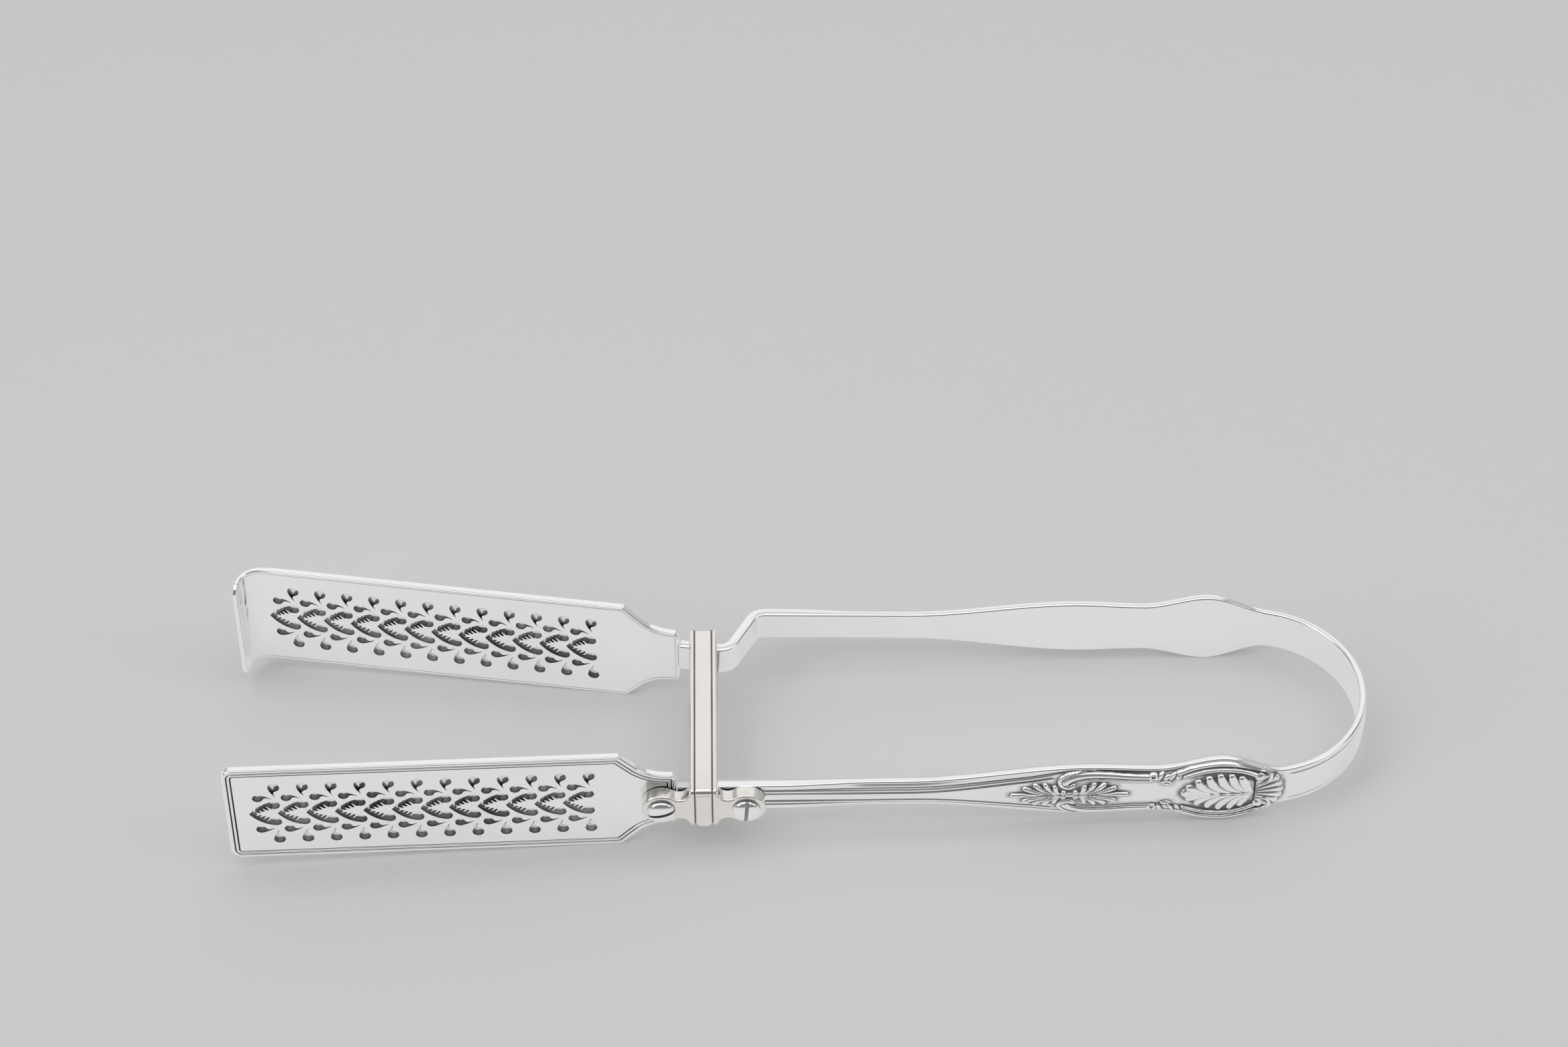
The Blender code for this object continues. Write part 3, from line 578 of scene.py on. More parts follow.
def add_palmettes(field, s, z):
    """Raises two palmettes that face apart from a knot: petals that swell to their tips, and beads."""
    for facing in (-1, 1):
        for reach, rise in PALMETTE_TIPS:
            root, middle = (
                (PALMETTE_KNOT + facing * (PETAL_START + along * reach), up * rise)
                for along, up in (PETAL_FOOT, PETAL_BEND)
            )
            tip = (PALMETTE_KNOT + facing * reach, rise)
            add_rib(field, s, z, bend(root, middle, tip, 8), *PETAL_RIB)
        bead = (PALMETTE_KNOT + facing * BEAD_PLACE[0], BEAD_PLACE[1])
        add_rib(field, s, z, arc(bead, BEAD_RADIUS, 0, 2 * math.pi, 8), *BEAD_RIB)
    ends = [(PALMETTE_KNOT + facing * KNOT_HALF_LENGTH, 0.0) for facing in (-1, 1)]
    add_rib(field, s, z, ends, *KNOT_RIB)


def shell_relief(s, z):
    """Height of the shell: flutes that fan out to a scalloped rim, up to the joint line."""
    out = np.hypot(s - SHELL_CENTRE, z)
    flutes = np.abs(np.cos(np.arctan2(z, SHELL_CENTRE - s) * SHELL_FLUTES))
    rim = SHELL_REACH - SHELL_SCALLOP + SHELL_SCALLOP * flutes
    shell = (SHELL_BASE + SHELL_FLUTE * flutes) * smooth_step((rim - out) / SHELL_EDGE)
    shell *= smooth_step((JOINT_LINE - s) / JOINT_EDGE)
    return shell * smooth_step((SHELL_HALF_WIDTH - z) / SHELL_SIDE_EDGE)


def arm_relief(s, z):
    """Height of the ornament over the handle's plain outer face, for stations and heights in millimetres.

    Both halves mirror about the middle. Ribs, leaves and shell lie one over another, and the higher shows.
    """
    z = np.abs(z)
    field = np.zeros_like(s)
    for curve, widths, height in SCROLLS:
        add_rib(field, s, z, spline(curve), widths, height)
    add_rib(field, s, z, arc(ROSETTE, ROSETTE_RADIUS, 0, 2 * math.pi, 16), *ROSETTE_RIB)
    for curve in HUSK_LEAVES:
        add_rib(field, s, z, bend(*curve, 8), *HUSK_RIB)
    add_acanthus(field, s, z)
    add_palmettes(field, s, z)
    field = np.maximum(field, shell_relief(s, z))
    joint = bell(s, JOINT_LINE, JOINT_WIDTH) * smooth_step((JOINT_HALF_LENGTH - z) / JOINT_EDGE)
    return field * (1 - JOINT_CUT * joint) - JOINT_DEPTH * joint


def fade_in(s, start, run):
    """Ease from 0 at a station to 1 at the end of a run."""
    return smooth_step((s - start) / run)


def border_relief(s, inset):
    """Threads along a handle's edges: a groove, a bead and a groove, at insets in millimetres."""
    outer = THREAD_INSET + THREAD_SHIFT * fade_in(s, *SHIFT_START)
    inner = outer + THREAD_SPACING
    on_stem = fade_in(s, *STEM_THREAD_START)
    field = -OUTER_DEPTH * bell(inset, outer, THREAD_WIDTH) * fade_in(s, *ARM_THREAD_START)
    field -= INNER_DEPTH * bell(inset, inner, THREAD_WIDTH) * on_stem
    return field + BETWEEN_HEIGHT * bell(inset, (outer + inner) / 2, BETWEEN_WIDTH) * on_stem


def blur(field, reach):
    """Mean of a field over a square window, by running sums along each axis."""
    for axis in (0, 1):
        pad = [(reach + 1, reach) if k == axis else (0, 0) for k in (0, 1)]
        total = np.cumsum(np.pad(field, pad, mode="edge"), axis)
        count = field.shape[axis]
        high = np.take(total, np.arange(count) + 2 * reach + 1, axis)
        field = (high - np.take(total, np.arange(count), axis)) / (2 * reach + 1)
    return field


NEAR_WINDOW, WIDE_WINDOW, WIDE_SHARE = 3, 9, 0.6


def recesses(field, depth):
    """How far each point lies under its surroundings, from 0 to 1 at a depth: the strength of the painted
    shade there.
    """
    near, wide = blur(field, NEAR_WINDOW) - field, blur(field, WIDE_WINDOW) - field
    return np.clip(np.maximum(near, WIDE_SHARE * wide) / depth, 0, 1)


# Bow and handles


def corner_turns(corners):
    """Lengths and headings of a plan line's runs, and the signed turn from each run to the next."""
    steps = np.diff(corners, axis=0)
    headings = np.arctan2(steps[:, 1], steps[:, 0])
    turns = (np.diff(headings) + math.pi) % (2 * math.pi) - math.pi
    return np.linalg.norm(steps, axis=1), headings, turns


def bent_path(corners, radii, s):
    """Plan points and headings at distances along a line with rounded corners.

    Straight runs and tangent arcs take turns. A corner's arc starts r tan(turn / 2) before the corner.
    """
    runs, headings, turns = corner_turns(corners)
    ways = np.stack([np.cos(headings), np.sin(headings)], -1)
    insets = np.array([0.0, *(radii * np.tan(np.abs(turns) / 2)), 0.0])
    points, facing = np.zeros((*s.shape, 2)), np.zeros_like(s)
    begin, at = 0.0, corners[0]
    for k, run in enumerate(runs):
        straight = run - insets[k] - insets[k + 1]
        here = s >= begin
        points[here] = at + (s[here] - begin)[:, None] * ways[k]
        facing[here] = headings[k]
        begin, at = begin + straight, at + straight * ways[k]
        if k < len(turns):
            here = s >= begin
            curve = np.sign(turns[k]) / radii[k]
            now = headings[k] + curve * (s[here] - begin)
            circle = np.stack([np.sin(now) - ways[k, 1], ways[k, 0] - np.cos(now)], -1)
            points[here] = at + circle / curve
            facing[here] = now
            begin = begin + radii[k] * abs(turns[k])
            at = corners[k + 1] + insets[k + 1] * ways[k + 1]
    return points, facing


def path_length(corners, radii):
    """Length of a line with rounded corners: a corner saves 2 r tan(turn / 2) - r turn."""
    runs, _, turns = corner_turns(corners)
    turns = np.abs(turns)
    return runs.sum() - (2 * radii * np.tan(turns / 2) - radii * turns).sum()


def arm_corners(side):
    """Plan corners of an arm's inner face, and the radii of its bends there."""
    arm = sizes("arm")
    neck, along = neck_line(side)
    end = neck + along * (arm.neck_length - arm.joint_gap)
    if side == FRONT:
        return np.array([(0, 0), end]), np.zeros(0)
    radii = np.array([arm.crank_radius, arm.crank_radius + arm.neck_thickness])
    return np.array([(0, 0), (-arm.stem_length, 0), neck, end]), radii


def arm_path(side, s):
    """Plan points and outward directions of an arm's inner face: round the bow to station 0, then along."""
    arm = sizes("arm")
    corners, radii = arm_corners(side)
    points, facing = bent_path(corners, radii, np.maximum(s, 0))
    outward = side * np.stack([np.sin(facing), -np.cos(facing)], -1)
    back = np.minimum(s, 0) / arm.bow_radius
    radial = np.stack([-np.sin(back), side * np.cos(back)], -1)
    on_bow = (s < 0)[:, None]
    points = np.where(on_bow, radial * arm.bow_radius - np.array([0, side * arm.bow_radius]), points)
    return points, np.where(on_bow, radial, outward)


def handle_sizes(s):
    """Half width, edge thickness and crown of a handle at its stations."""
    a = sizes("arm")
    widths = {
        -a.overlap: a.bow_half_width,
        a.lobe_station: a.lobe_half_width,
        a.waist_station: a.waist_half_width,
        a.shield_station: a.shield_half_width,
        a.stem_station: a.stem_half_width,
        a.stem_length: a.stem_half_width,
    }
    flat = a.stem_length - a.flat_end
    stations = (-a.overlap, a.lobe_station, flat - a.flat_run, flat)
    edge = through(stations, (a.bow_edge, a.edge, a.edge, a.neck_thickness), s)
    crown = through(stations, (a.bow_crown, a.crown, a.crown, 0.0), s)
    return through(tuple(widths), tuple(widths.values()), s), edge, crown


FACE_COLUMNS, CORNER_COLUMNS, BACK_COLUMNS = 125, 5, 12


def strip_section(width, edge, corner):
    """Section of a strip: up the outer face, over the top edge, down the inner face, round the bottom edge.

    Returns arrays of outward distances and heights with one row for each station, and the slice of the
    columns on the outer face.
    """
    share = np.linspace(-1, 1, FACE_COLUMNS)[None]
    back = np.linspace(1, -1, BACK_COLUMNS)[None, 1:-1]
    late = np.linspace(0, math.pi / 2, CORNER_COLUMNS + 1)[None, 1:]
    early = late - late[0, 0]
    e, r = edge[:, None], corner
    high, ones = width[:, None] - r, np.ones_like(e)
    parts = (
        (e * np.ones_like(share), high * share),
        (e - r + r * np.cos(late), high + r * np.sin(late)),
        (r - r * np.sin(late) * ones, high + r * np.cos(late)),
        (0 * back * ones, high * back),
        (r - r * np.cos(early) * ones, -high - r * np.sin(early)),
        (e - r + r * np.sin(early), -high - r * np.cos(early)),
    )
    outward, height = (np.hstack(part) for part in zip(*parts))
    return outward, height, slice(0, FACE_COLUMNS)


def loft_points(points, outward, across, height):
    """Points of a strip: each station's plan point moved outward and up by its section."""
    return lift(points[:, None] + outward[:, None] * across[..., None], height[..., None])


def strip_piece(name, grid, material, cavity):
    """Closed tube over rows of sections, with a flat face at each end."""
    rows, columns = grid.shape[:2]
    ends = np.stack([np.arange(columns), (rows - 1) * columns + np.arange(columns)])
    return new_piece(name, grid.reshape(-1, 3), [grid_faces(rows, columns), ends], material, cavity.ravel())


ORNAMENT_END, ORNAMENT_ROWS, PLAIN_ROWS = 57 * MM, 420, 171
THREAD_PAST_STEM, THREAD_FADE = 1 * MM, 3 * MM
NECK_TARNISH, NECK_TARNISH_START, NECK_TARNISH_FADE = 0.3, 7 * MM, 2 * MM
# Depths at which the painted shade in the ornament's and the bow's recesses is full
ORNAMENT_RECESS, BOW_RECESS, RELIEF_EDGE = 0.13, 0.2, 0.03


def handle_piece(name, side, material):
    """Handle: its plain section carried down the arm, with the ornament raised on its outer face."""
    arm = sizes("arm")
    dense = np.linspace(-arm.overlap + arm.joint_gap, ORNAMENT_END, ORNAMENT_ROWS)
    reach = path_length(*arm_corners(side))
    s = np.concatenate([dense, np.linspace(ORNAMENT_END, reach, PLAIN_ROWS)[1:]])
    width, edge, crown = handle_sizes(s)
    across, height, face = strip_section(width, edge, arm.corner)
    z = height[:, face]
    share = z / (width - arm.corner)[:, None]
    stations = np.broadcast_to(s[:, None], z.shape)
    inset = (width[:, None] - np.abs(z)) / MM
    carved = smooth_step((arm.stem_length + THREAD_PAST_STEM - stations) / THREAD_FADE)
    relief = arm_relief(stations / MM, z / MM) + border_relief(stations / MM, inset) * carved
    hollow = np.zeros_like(across)
    if side == FRONT:
        neck = arm.stem_length + arm.crank_run + NECK_TARNISH_START
        hollow += NECK_TARNISH * fade_in(s, neck, NECK_TARNISH_FADE)[:, None]
    # Painted shade in the ornament's recesses and the border's threads
    hollow[:, face] = np.maximum(hollow[:, face], recesses(relief, ORNAMENT_RECESS))
    level = smooth_step((1 - np.abs(share)) / RELIEF_EDGE)
    across[:, face] += crown[:, None] * (1 - share ** 2) + relief * MM * level
    plan, outward = arm_path(side, s)
    origin, turn = bow_end(side)
    grid = spin(loft_points(plan, outward, across, height), turn, origin)
    return strip_piece(name, grid, material, hollow)


BOW_ROWS = 161
BOW_THREAD_INSET, BOW_THREAD_WIDTH, BOW_THREAD_DEPTH, BOW_THREAD_FADE = 1.35, 0.16, 0.16, 0.06


def bow_piece(material):
    """Bow: a crowned strip with a thread cut along each edge, carried round an arc."""
    arm = sizes("arm")
    reach = math.pi / 2 - arm.splay - (arm.overlap - arm.joint_gap) / arm.bow_radius
    around = np.linspace(-reach, reach, BOW_ROWS)
    ones = np.ones_like(around)
    across, height, face = strip_section(arm.bow_half_width * ones, arm.bow_edge * ones, arm.corner)
    z = height[:, face]
    share = z / (arm.bow_half_width - arm.corner)
    inset = (arm.bow_half_width - np.abs(z)) / MM
    cut = smooth_step((reach - np.abs(around)) / BOW_THREAD_FADE)[:, None]
    thread = -BOW_THREAD_DEPTH * bell(inset, BOW_THREAD_INSET, BOW_THREAD_WIDTH) * cut
    across[:, face] += arm.bow_crown * (1 - share ** 2) + thread * MM
    hollow = np.zeros_like(across)
    # Painted shade in the threads along the bow's edges
    hollow[:, face] = recesses(thread, BOW_RECESS)
    radial = np.stack([np.cos(around), np.sin(around)], -1)
    grid = loft_points(radial * arm.bow_radius, radial, across, height)
    return strip_piece("spring_bow_silver", grid, material, hollow)


# Blades

# Holes are drawn in pitches, along from a cell's vertex towards the root and up from the blade's middle
CHEVRON_RISE = (0.36, 0.53)
CHEVRON_BULB, CHEVRON_BULB_RADIUS = (0.913, 0.444), 0.19
CHEVRON_BULB_START, CHEVRON_BULB_SWEEP = 107 * DEGREE, -225 * DEGREE
TONGUE_TIP, TONGUE_ROOT = (0.23, 0.0), (0.80, 0.25)
TONGUE_TEETH = (0.20, 0.155, 0.115, 0.08)
# Points of a tooth, as shares of its base and of its depth
TOOTH = ((0.06, 0.0), (0.34, 0.5), (0.62, 1.0), (0.92, 0.96), (0.78, 0.45), (0.66, 0.03))
# A drop has its bulb's middle, its bulb's radius, its tip, and the side that its tail leaves
TEARDROP = ((0.352, 0.838), 0.178, (0.846, 0.775), 1)
COMMA = ((0.955, 1.390), 0.200, (0.985, 0.900), -1)
BULB_START, BULB_SWEEP = 80 * DEGREE, 262 * DEGREE
TAIL_HOLLOW, TAIL_SWEEP = (1.25, 0.68), 0.55


def drop_hole(bulb, radius, tip, side):
    """Outline of a comma: a round bulb whose tail sweeps off one side of it to a pointed tip.

    The tail's outer edge leaves the bulb along its tangent, and the inner edge hollows back under the tail.
    """
    axis = np.subtract(tip, bulb)
    reach = np.linalg.norm(axis)
    bulb_arc = arc((0, 0), radius, BULB_START, BULB_SWEEP, 22)
    leave = np.array([math.sin(BULB_START), -math.cos(BULB_START)])
    inner = bend(bulb_arc[-1], radius * np.array(TAIL_HOLLOW), (reach, 0), 8)[1:]
    outer = bend((reach, 0), bulb_arc[0] + TAIL_SWEEP * reach * leave, bulb_arc[0], 8)[1:-1]
    loop = np.vstack([bulb_arc, inner, outer])
    along = axis / reach
    return bulb + loop[:, :1] * along + side * loop[:, 1:] * np.array([-along[1], along[0]])


def chevron_hole():
    """Outline of a pointed arch that ends in two round bulbs, about a leaf tongue with a row of teeth."""
    bulb = arc(CHEVRON_BULB, CHEVRON_BULB_RADIUS, CHEVRON_BULB_START, CHEVRON_BULB_SWEEP, 18)
    arm = bend((0, 0), CHEVRON_RISE, bulb[0], 10)[1:-1]
    root, tip = np.array(TONGUE_ROOT), np.array(TONGUE_TIP)
    along = (tip - root) / len(TONGUE_TEETH)
    across = np.array([along[1], -along[0]]) / np.linalg.norm(along)
    k, depth = np.arange(len(TONGUE_TEETH))[:, None], np.array(TONGUE_TEETH)[:, None]
    teeth = np.stack([root + (k + share) * along + across * depth * rise for share, rise in TOOTH], 1)
    upper = np.vstack([arm, bulb, teeth.reshape(-1, 2)])
    lower = upper[::-1] * (1, -1)
    return np.vstack([[(0, 0)], upper, [TONGUE_TIP], lower])


def piercing(first, cells):
    """Clockwise loops of all the holes along a blade, from the first cell's vertex towards the root."""
    pitch = sizes("blade").pitch
    cell = [chevron_hole()]
    for drop in (drop_hole(*TEARDROP), drop_hole(*COMMA)):
        cell += [drop, drop[::-1] * (1, -1)]
    loops = []
    for k in range(cells):
        for hole in cell:
            loop = np.stack([first - k * pitch - hole[:, 0] * pitch, hole[:, 1] * pitch], -1)
            following = np.roll(loop, -1, 0)
            area = (loop[:, 0] * following[:, 1] - following[:, 0] * loop[:, 1]).sum()
            loops.append(loop if area < 0 else loop[::-1])
    return loops


END_COLUMNS, EDGE_COLUMNS, TIP_STEPS = 40, 50, 10
LEAST_CORNER = 0.06 * MM


def line(start, end, steps):
    """Points of a straight run, its end left out."""
    return np.linspace(start, end, steps, endpoint=False)


def blade_half(end, split, inset):
    """Lower half of a blade's outline moved inwards: its step, hollow shoulder, long edge and tip's corner.

    Round outer corners lose the inset from their radius and the hollow shoulder gains it, so every inset
    has the same count of points and none crosses itself.
    """
    b = sizes("blade")
    low, root = inset - b.half_width, inset - b.root_half_width
    corners = (b.root_corner, b.shoulder_corner, b.tip_corner)
    r_root, r_top, r_tip = (max(r - inset, LEAST_CORNER) for r in corners)
    sweep = b.shoulder_sweep
    step = arc((inset + r_root, root + r_root), r_root, math.pi, math.pi / 2, 10)
    centre = (b.shoulder_land, -b.root_half_width - b.shoulder_radius)
    hollow = arc(centre, b.shoulder_radius + inset, math.pi / 2, -sweep, 26)
    down = np.array([math.cos(sweep), -math.sin(sweep)])
    top = hollow[-1] + down * (hollow[-1, 1] - low) / math.sin(sweep)
    start = top - down * r_top * math.tan(sweep / 2)
    middle = start + r_top * np.array([math.sin(sweep), math.cos(sweep)])
    corner = arc(middle, r_top, -math.pi / 2 - sweep, sweep, 8)
    tip = arc((end - inset - r_tip, low + r_tip), r_tip, -math.pi / 2, math.pi / 2, TIP_STEPS)
    return np.vstack([
        line((inset, 0), step[0], 4), step, hollow[1:-1], line(hollow[-1], corner[0], 4), corner[:-1],
        line(corner[-1], (split, low), EDGE_COLUMNS), line((split, low), tip[0], EDGE_COLUMNS), tip,
    ])


def blade_loop(end, split, inset):
    """Whole outline, counter-clockwise, as a mirrored pair of halves with the tip's end between them."""
    lower = blade_half(end, split, inset)
    reach = lower[-1, 1]
    tip = np.linspace((end - inset, reach), (end - inset, -reach), END_COLUMNS + 1)[1:-1]
    return np.vstack([lower, tip, (lower * (1, -1))[:0:-1]])


# Borders, in millimetres from the blade's edge
REEDED_WIDTH, REEDED_LINES, REEDED_END, REEDED_EDGE = 2.05, 42, 2.2, 0.22
REEDS, REED_HALF_WIDTH, REED_RISE = (0.62, 1.42), 0.36, 0.35
REED_GROOVES, REED_GROOVE_WIDTH = (1.02, 1.86), 0.14
PLAIN_WIDTH, PLAIN_LINES, PLAIN_END = 0.9, 19, 1.1
PLAIN_EDGE_DROP, PLAIN_EDGE_RUN = 0.28, 0.3
FINE_LINE, FINE_LINE_WIDTH, FINE_LINE_DEPTH = 0.72, 0.07, 0.06
BORDER_FADE = 0.05


def level_border(inset, rise, end):
    """Insets and heights of a border's lines in metres, with a level last line at its end."""
    level = smooth_step((inset[-1] - inset) / BORDER_FADE)
    return np.append(inset, end) * MM, np.append(rise * level, 0.0) * MM


def reeded_border(depth):
    """Border with a rounded edge and two reeds, each beside a groove of the depth."""
    inset = np.linspace(0, REEDED_WIDTH, REEDED_LINES)
    rise = -REEDED_EDGE * (1 - smooth_step(inset / REEDED_EDGE)) ** 2
    for middle in REEDS:
        rise = rise + REED_RISE * depth / MM * np.sqrt(dome(inset, middle, REED_HALF_WIDTH))
    for middle in REED_GROOVES:
        rise = rise - depth / MM * bell(inset, middle, REED_GROOVE_WIDTH)
    return level_border(inset, rise, REEDED_END)


def plain_border():
    """Border with a small rounded edge and a fine line inside it."""
    inset = np.linspace(0, PLAIN_WIDTH, PLAIN_LINES)
    rise = -PLAIN_EDGE_DROP * (1 - smooth_step(inset / PLAIN_EDGE_RUN)) ** 2
    rise = rise - FINE_LINE_DEPTH * bell(inset, FINE_LINE, FINE_LINE_WIDTH)
    return level_border(inset, rise, PLAIN_END)


# Rings of a hole's rim: shares of the bevel out from the wall and under the face, and the painted shade
# there, full on the wall
HOLE_RIM = ((1.3, 0.0, 0.0), (1.0, 0.0, 0.15), (0.3, 0.3, 0.7), (0.0, 1.0, 1.0))
# Depth at which a border's groove takes full painted shade, and the inset within which no shade is painted
BORDER_RECESS, BORDER_RECESS_START = 0.12 * MM, 0.3 * MM


def blade_face(end, split, holes, border, level, outward):
    """One face of a blade: its border lines, its plain field with the holes left out, and the holes' rims.

    Returns points (station, height, distance from the inner face), faces, the painted shade at each point,
    and the loops
    of points where walls start: the outline and then every hole.
    """
    insets, rises = border
    rings = np.stack([blade_loop(end, split, d) for d in insets])
    count = rings.shape[1]
    half_count = (count - END_COLUMNS) // 2 + 1
    points = [lift(rings, (level + outward * rises)[:, None, None])]
    faces = [grid_faces(len(insets), count)]
    # Painted shade in the border's grooves
    grooves = np.clip(-rises / BORDER_RECESS, 0, 1) * (insets > BORDER_RECESS_START)
    dark = [np.broadcast_to(grooves[:, None], rings.shape[:2])]
    inner = (len(insets) - 1) * count + np.arange(count)

    field = rings[-1]
    first = half_count - (TIP_STEPS + 1) - EDGE_COLUMNS
    mirror = (-np.arange(count)) % count
    rows = np.arange(first, half_count)
    tip = half_count - 1 + np.arange(END_COLUMNS + 1)
    share = np.linspace(0, 1, END_COLUMNS + 1)[None, :, None]
    sheet = field[rows][:, None] * (1 - share) + field[mirror[rows]][:, None] * share
    total = len(insets) * count
    index = total + np.arange(len(rows) * (END_COLUMNS + 1)).reshape(len(rows), -1)
    index[:, 0], index[:, -1] = inner[rows], inner[mirror[rows]]
    index[-1], sheet[-1] = inner[tip], field[tip]
    points.append(lift(sheet, level))
    dark.append(np.zeros(sheet.shape[:2]))
    faces.append(index.ravel()[grid_faces(len(rows), END_COLUMNS + 1, wrap_columns=False)])

    total += index.size
    polygons = [np.concatenate([inner[:first], index[0], inner[mirror[np.arange(first - 1, 0, -1)]]])]
    walls = [np.arange(count)]
    bevel = sizes("blade").hole_bevel
    rim_insets, rim_depths, rim_dark = np.array(HOLE_RIM).T
    for hole in holes:
        size = len(hole)
        rim = np.stack([offset(hole, bevel * inset) for inset in rim_insets])
        points.append(lift(rim, (level - outward * bevel * rim_depths)[:, None, None]))
        # Painted shade down each hole's rim, full on its wall
        dark.append(np.broadcast_to(rim_dark[:, None], rim.shape[:2]))
        faces.append(total + grid_faces(len(rim), size))
        polygons.append(total + np.arange(size))
        total += len(rim) * size
        walls.append(total - size + np.arange(size))
    everything = np.concatenate([p.reshape(-1, 3) for p in points])
    outlines = [[Vector((x, y, 0)) for x, y in everything[p, :2]] for p in polygons]
    faces.append(np.concatenate(polygons)[np.array(tessellate_polygon(outlines))])
    return everything, faces, np.concatenate([d.ravel() for d in dark]), walls


def fold_tip(points, side, flat, bent):
    """Blade's points in its own frame: flat up to the lip, round an arc of its radius and straight on."""
    b = sizes("blade")
    u, z, n = points.T
    turn = np.clip((u - flat) / b.lip_radius, 0, b.lip_angle) if bent else np.zeros_like(u)
    past = np.clip(u - flat - b.lip_radius * b.lip_angle, 0, None) if bent else np.zeros_like(u)
    level = np.minimum(u, flat) if bent else u
    x = -level - (b.lip_radius + n) * np.sin(turn) - past * np.cos(turn)
    y = -b.lip_radius + (b.lip_radius + n) * np.cos(turn) - past * np.sin(turn)
    return np.stack([x, side * y, z], -1)


# Where the columns of the tip's end start, before the end of the flat
REAR_SPLIT, FRONT_SPLIT = 0.2 * MM, 3.5 * MM
BLADE_SHARP = 32 * DEGREE


def blade_piece(name, side, material):
    """Pierced blade: an outer and an inner face joined by walls round the outline and every hole."""
    arm, b = sizes("arm"), sizes("blade")
    rear = side == REAR
    flat = b.rear_length if rear else b.front_length
    end = flat + b.lip_radius * b.lip_angle + b.lip_straight if rear else flat
    vertex = flat - (b.rear_tip_margin if rear else b.front_tip_margin)
    holes = piercing(vertex, b.cells)
    base = 0.0 if rear else arm.neck_thickness - b.thickness
    split = flat - (REAR_SPLIT if rear else FRONT_SPLIT)
    outer = blade_face(end, split, holes, reeded_border(b.reed_depth), base + b.thickness, 1)
    inner = blade_face(end, split, holes, plain_border(), base, -1)
    shift = len(outer[0])
    points = np.concatenate([outer[0], inner[0]])
    faces = list(outer[1]) + [shift + f for f in inner[1]]
    for top, bottom in zip(outer[3], inner[3]):
        faces.append(np.stack([top, shift + bottom]).ravel()[grid_faces(2, len(top))])
    if rear:
        on_lip = smooth_step((points[:, 0] - flat + b.lip_radius) / (end - flat))
        points[:, 2] *= 1 - b.lip_thinning * on_lip
    dark = np.concatenate([outer[2], inner[2]])
    _, root, turn = blade_root(side)
    grid = spin(fold_tip(points, side, flat, rear), turn, root)
    return new_piece(name, grid, faces, material, dark, BLADE_SHARP)


# Guide loop and screws

RIM_RISE, RIM_MIDDLE, RIM_HALF_WIDTH = 0.12 * MM, 2.4 * MM, 0.5 * MM
PANEL_GROOVE_OFFSET, PANEL_GROOVE_WIDTH, PANEL_GROOVE_DEPTH = 0.12 * MM, 0.13 * MM, 0.24 * MM
STRAP_EDGE, STRAP_LINES = 0.3 * MM, 41
GUIDE_SHARP = 35 * DEGREE


def guide_place():
    """Middle of the guide on the front neck, its turn, and where its loop starts and ends across."""
    arm, guide = sizes("arm"), sizes("guide")
    start, root, _ = blade_root(FRONT)
    centre, turn = (start + root) / 2, bow_end(FRONT)[1]
    seat = -arm.neck_thickness - arm.joint_gap
    rear_start, rear_root, _ = blade_root(REAR)
    along = (rear_root - rear_start)[:2] / arm.neck_length
    outward = np.array([along[1], -along[0]])
    face = rear_start[:2] + outward * arm.neck_thickness
    edge_x = centre[0] - math.cos(turn) * guide.strap_width / 2
    edge_y = face[1] + along[1] / along[0] * (edge_x - face[0])
    edge = np.array([[edge_x, edge_y, 0]]) - centre
    far = spin(edge, -turn, 0)[0, 1] + guide.clearance
    return centre, turn, seat, far


def strap_piece(material):
    """Guide's strap: a panelled section carried round a rectangle with rounded corners."""
    arm, g = sizes("arm"), sizes("guide")
    centre, turn, seat, far = guide_place()
    inner_half = arm.stem_half_width + g.clearance
    r, h = g.strap_corner, inner_half + g.strap_thickness
    y0, y1 = seat - g.plate_thickness, far + g.strap_thickness
    corners = ((y1 - r, h - r, 0), (y0 + r, h - r, 1), (y0 + r, r - h, 2), (y1 - r, r - h, 3))
    outer = np.vstack([arc((y, z), r, q * 90 * DEGREE, 90 * DEGREE, 10) for y, z, q in corners])
    facing = np.concatenate([np.linspace(q, q + 1, 11) for q in range(4)]) * 90 * DEGREE
    normal = np.stack([np.cos(facing), np.sin(facing)], -1)
    inner = np.stack([np.clip(outer[:, 0], seat, far), np.clip(outer[:, 1], -inner_half, inner_half)], -1)
    half = g.strap_width / 2
    x = np.linspace(-half + STRAP_EDGE, half - STRAP_EDGE, STRAP_LINES)
    groove = bell(np.abs(x), g.panel_half_width + PANEL_GROOVE_OFFSET, PANEL_GROOVE_WIDTH)
    rise = RIM_RISE * dome(np.abs(x), RIM_MIDDLE, RIM_HALF_WIDTH) - PANEL_GROOVE_DEPTH * groove
    rise = np.concatenate([[-STRAP_EDGE], rise, [-STRAP_EDGE]])
    top = outer[:, None] + normal[:, None] * rise[None, :, None]
    section = np.concatenate([top, np.repeat(inner[:, None], 2, 1)], 1)
    xs = np.concatenate([[-half], x, [half, half, -half]])
    grid = np.concatenate([np.broadcast_to(xs[None, :, None], (*section.shape[:2], 1)), section], -1)
    # Painted shade in the panel's grooves
    dark = np.zeros(grid.shape[:2])
    dark[:, 1:-3] = groove[None]
    faces = [grid_faces(*grid.shape[:2], wrap_rows=True)]
    points = spin(grid.reshape(-1, 3), turn, centre)
    return new_piece("guide_strap", points, faces, material, dark.ravel(), GUIDE_SHARP)


def ear_place():
    """Distance of a screw from the guide's middle."""
    return sizes("arm").neck_length / 2 + sizes("guide").screw_inset


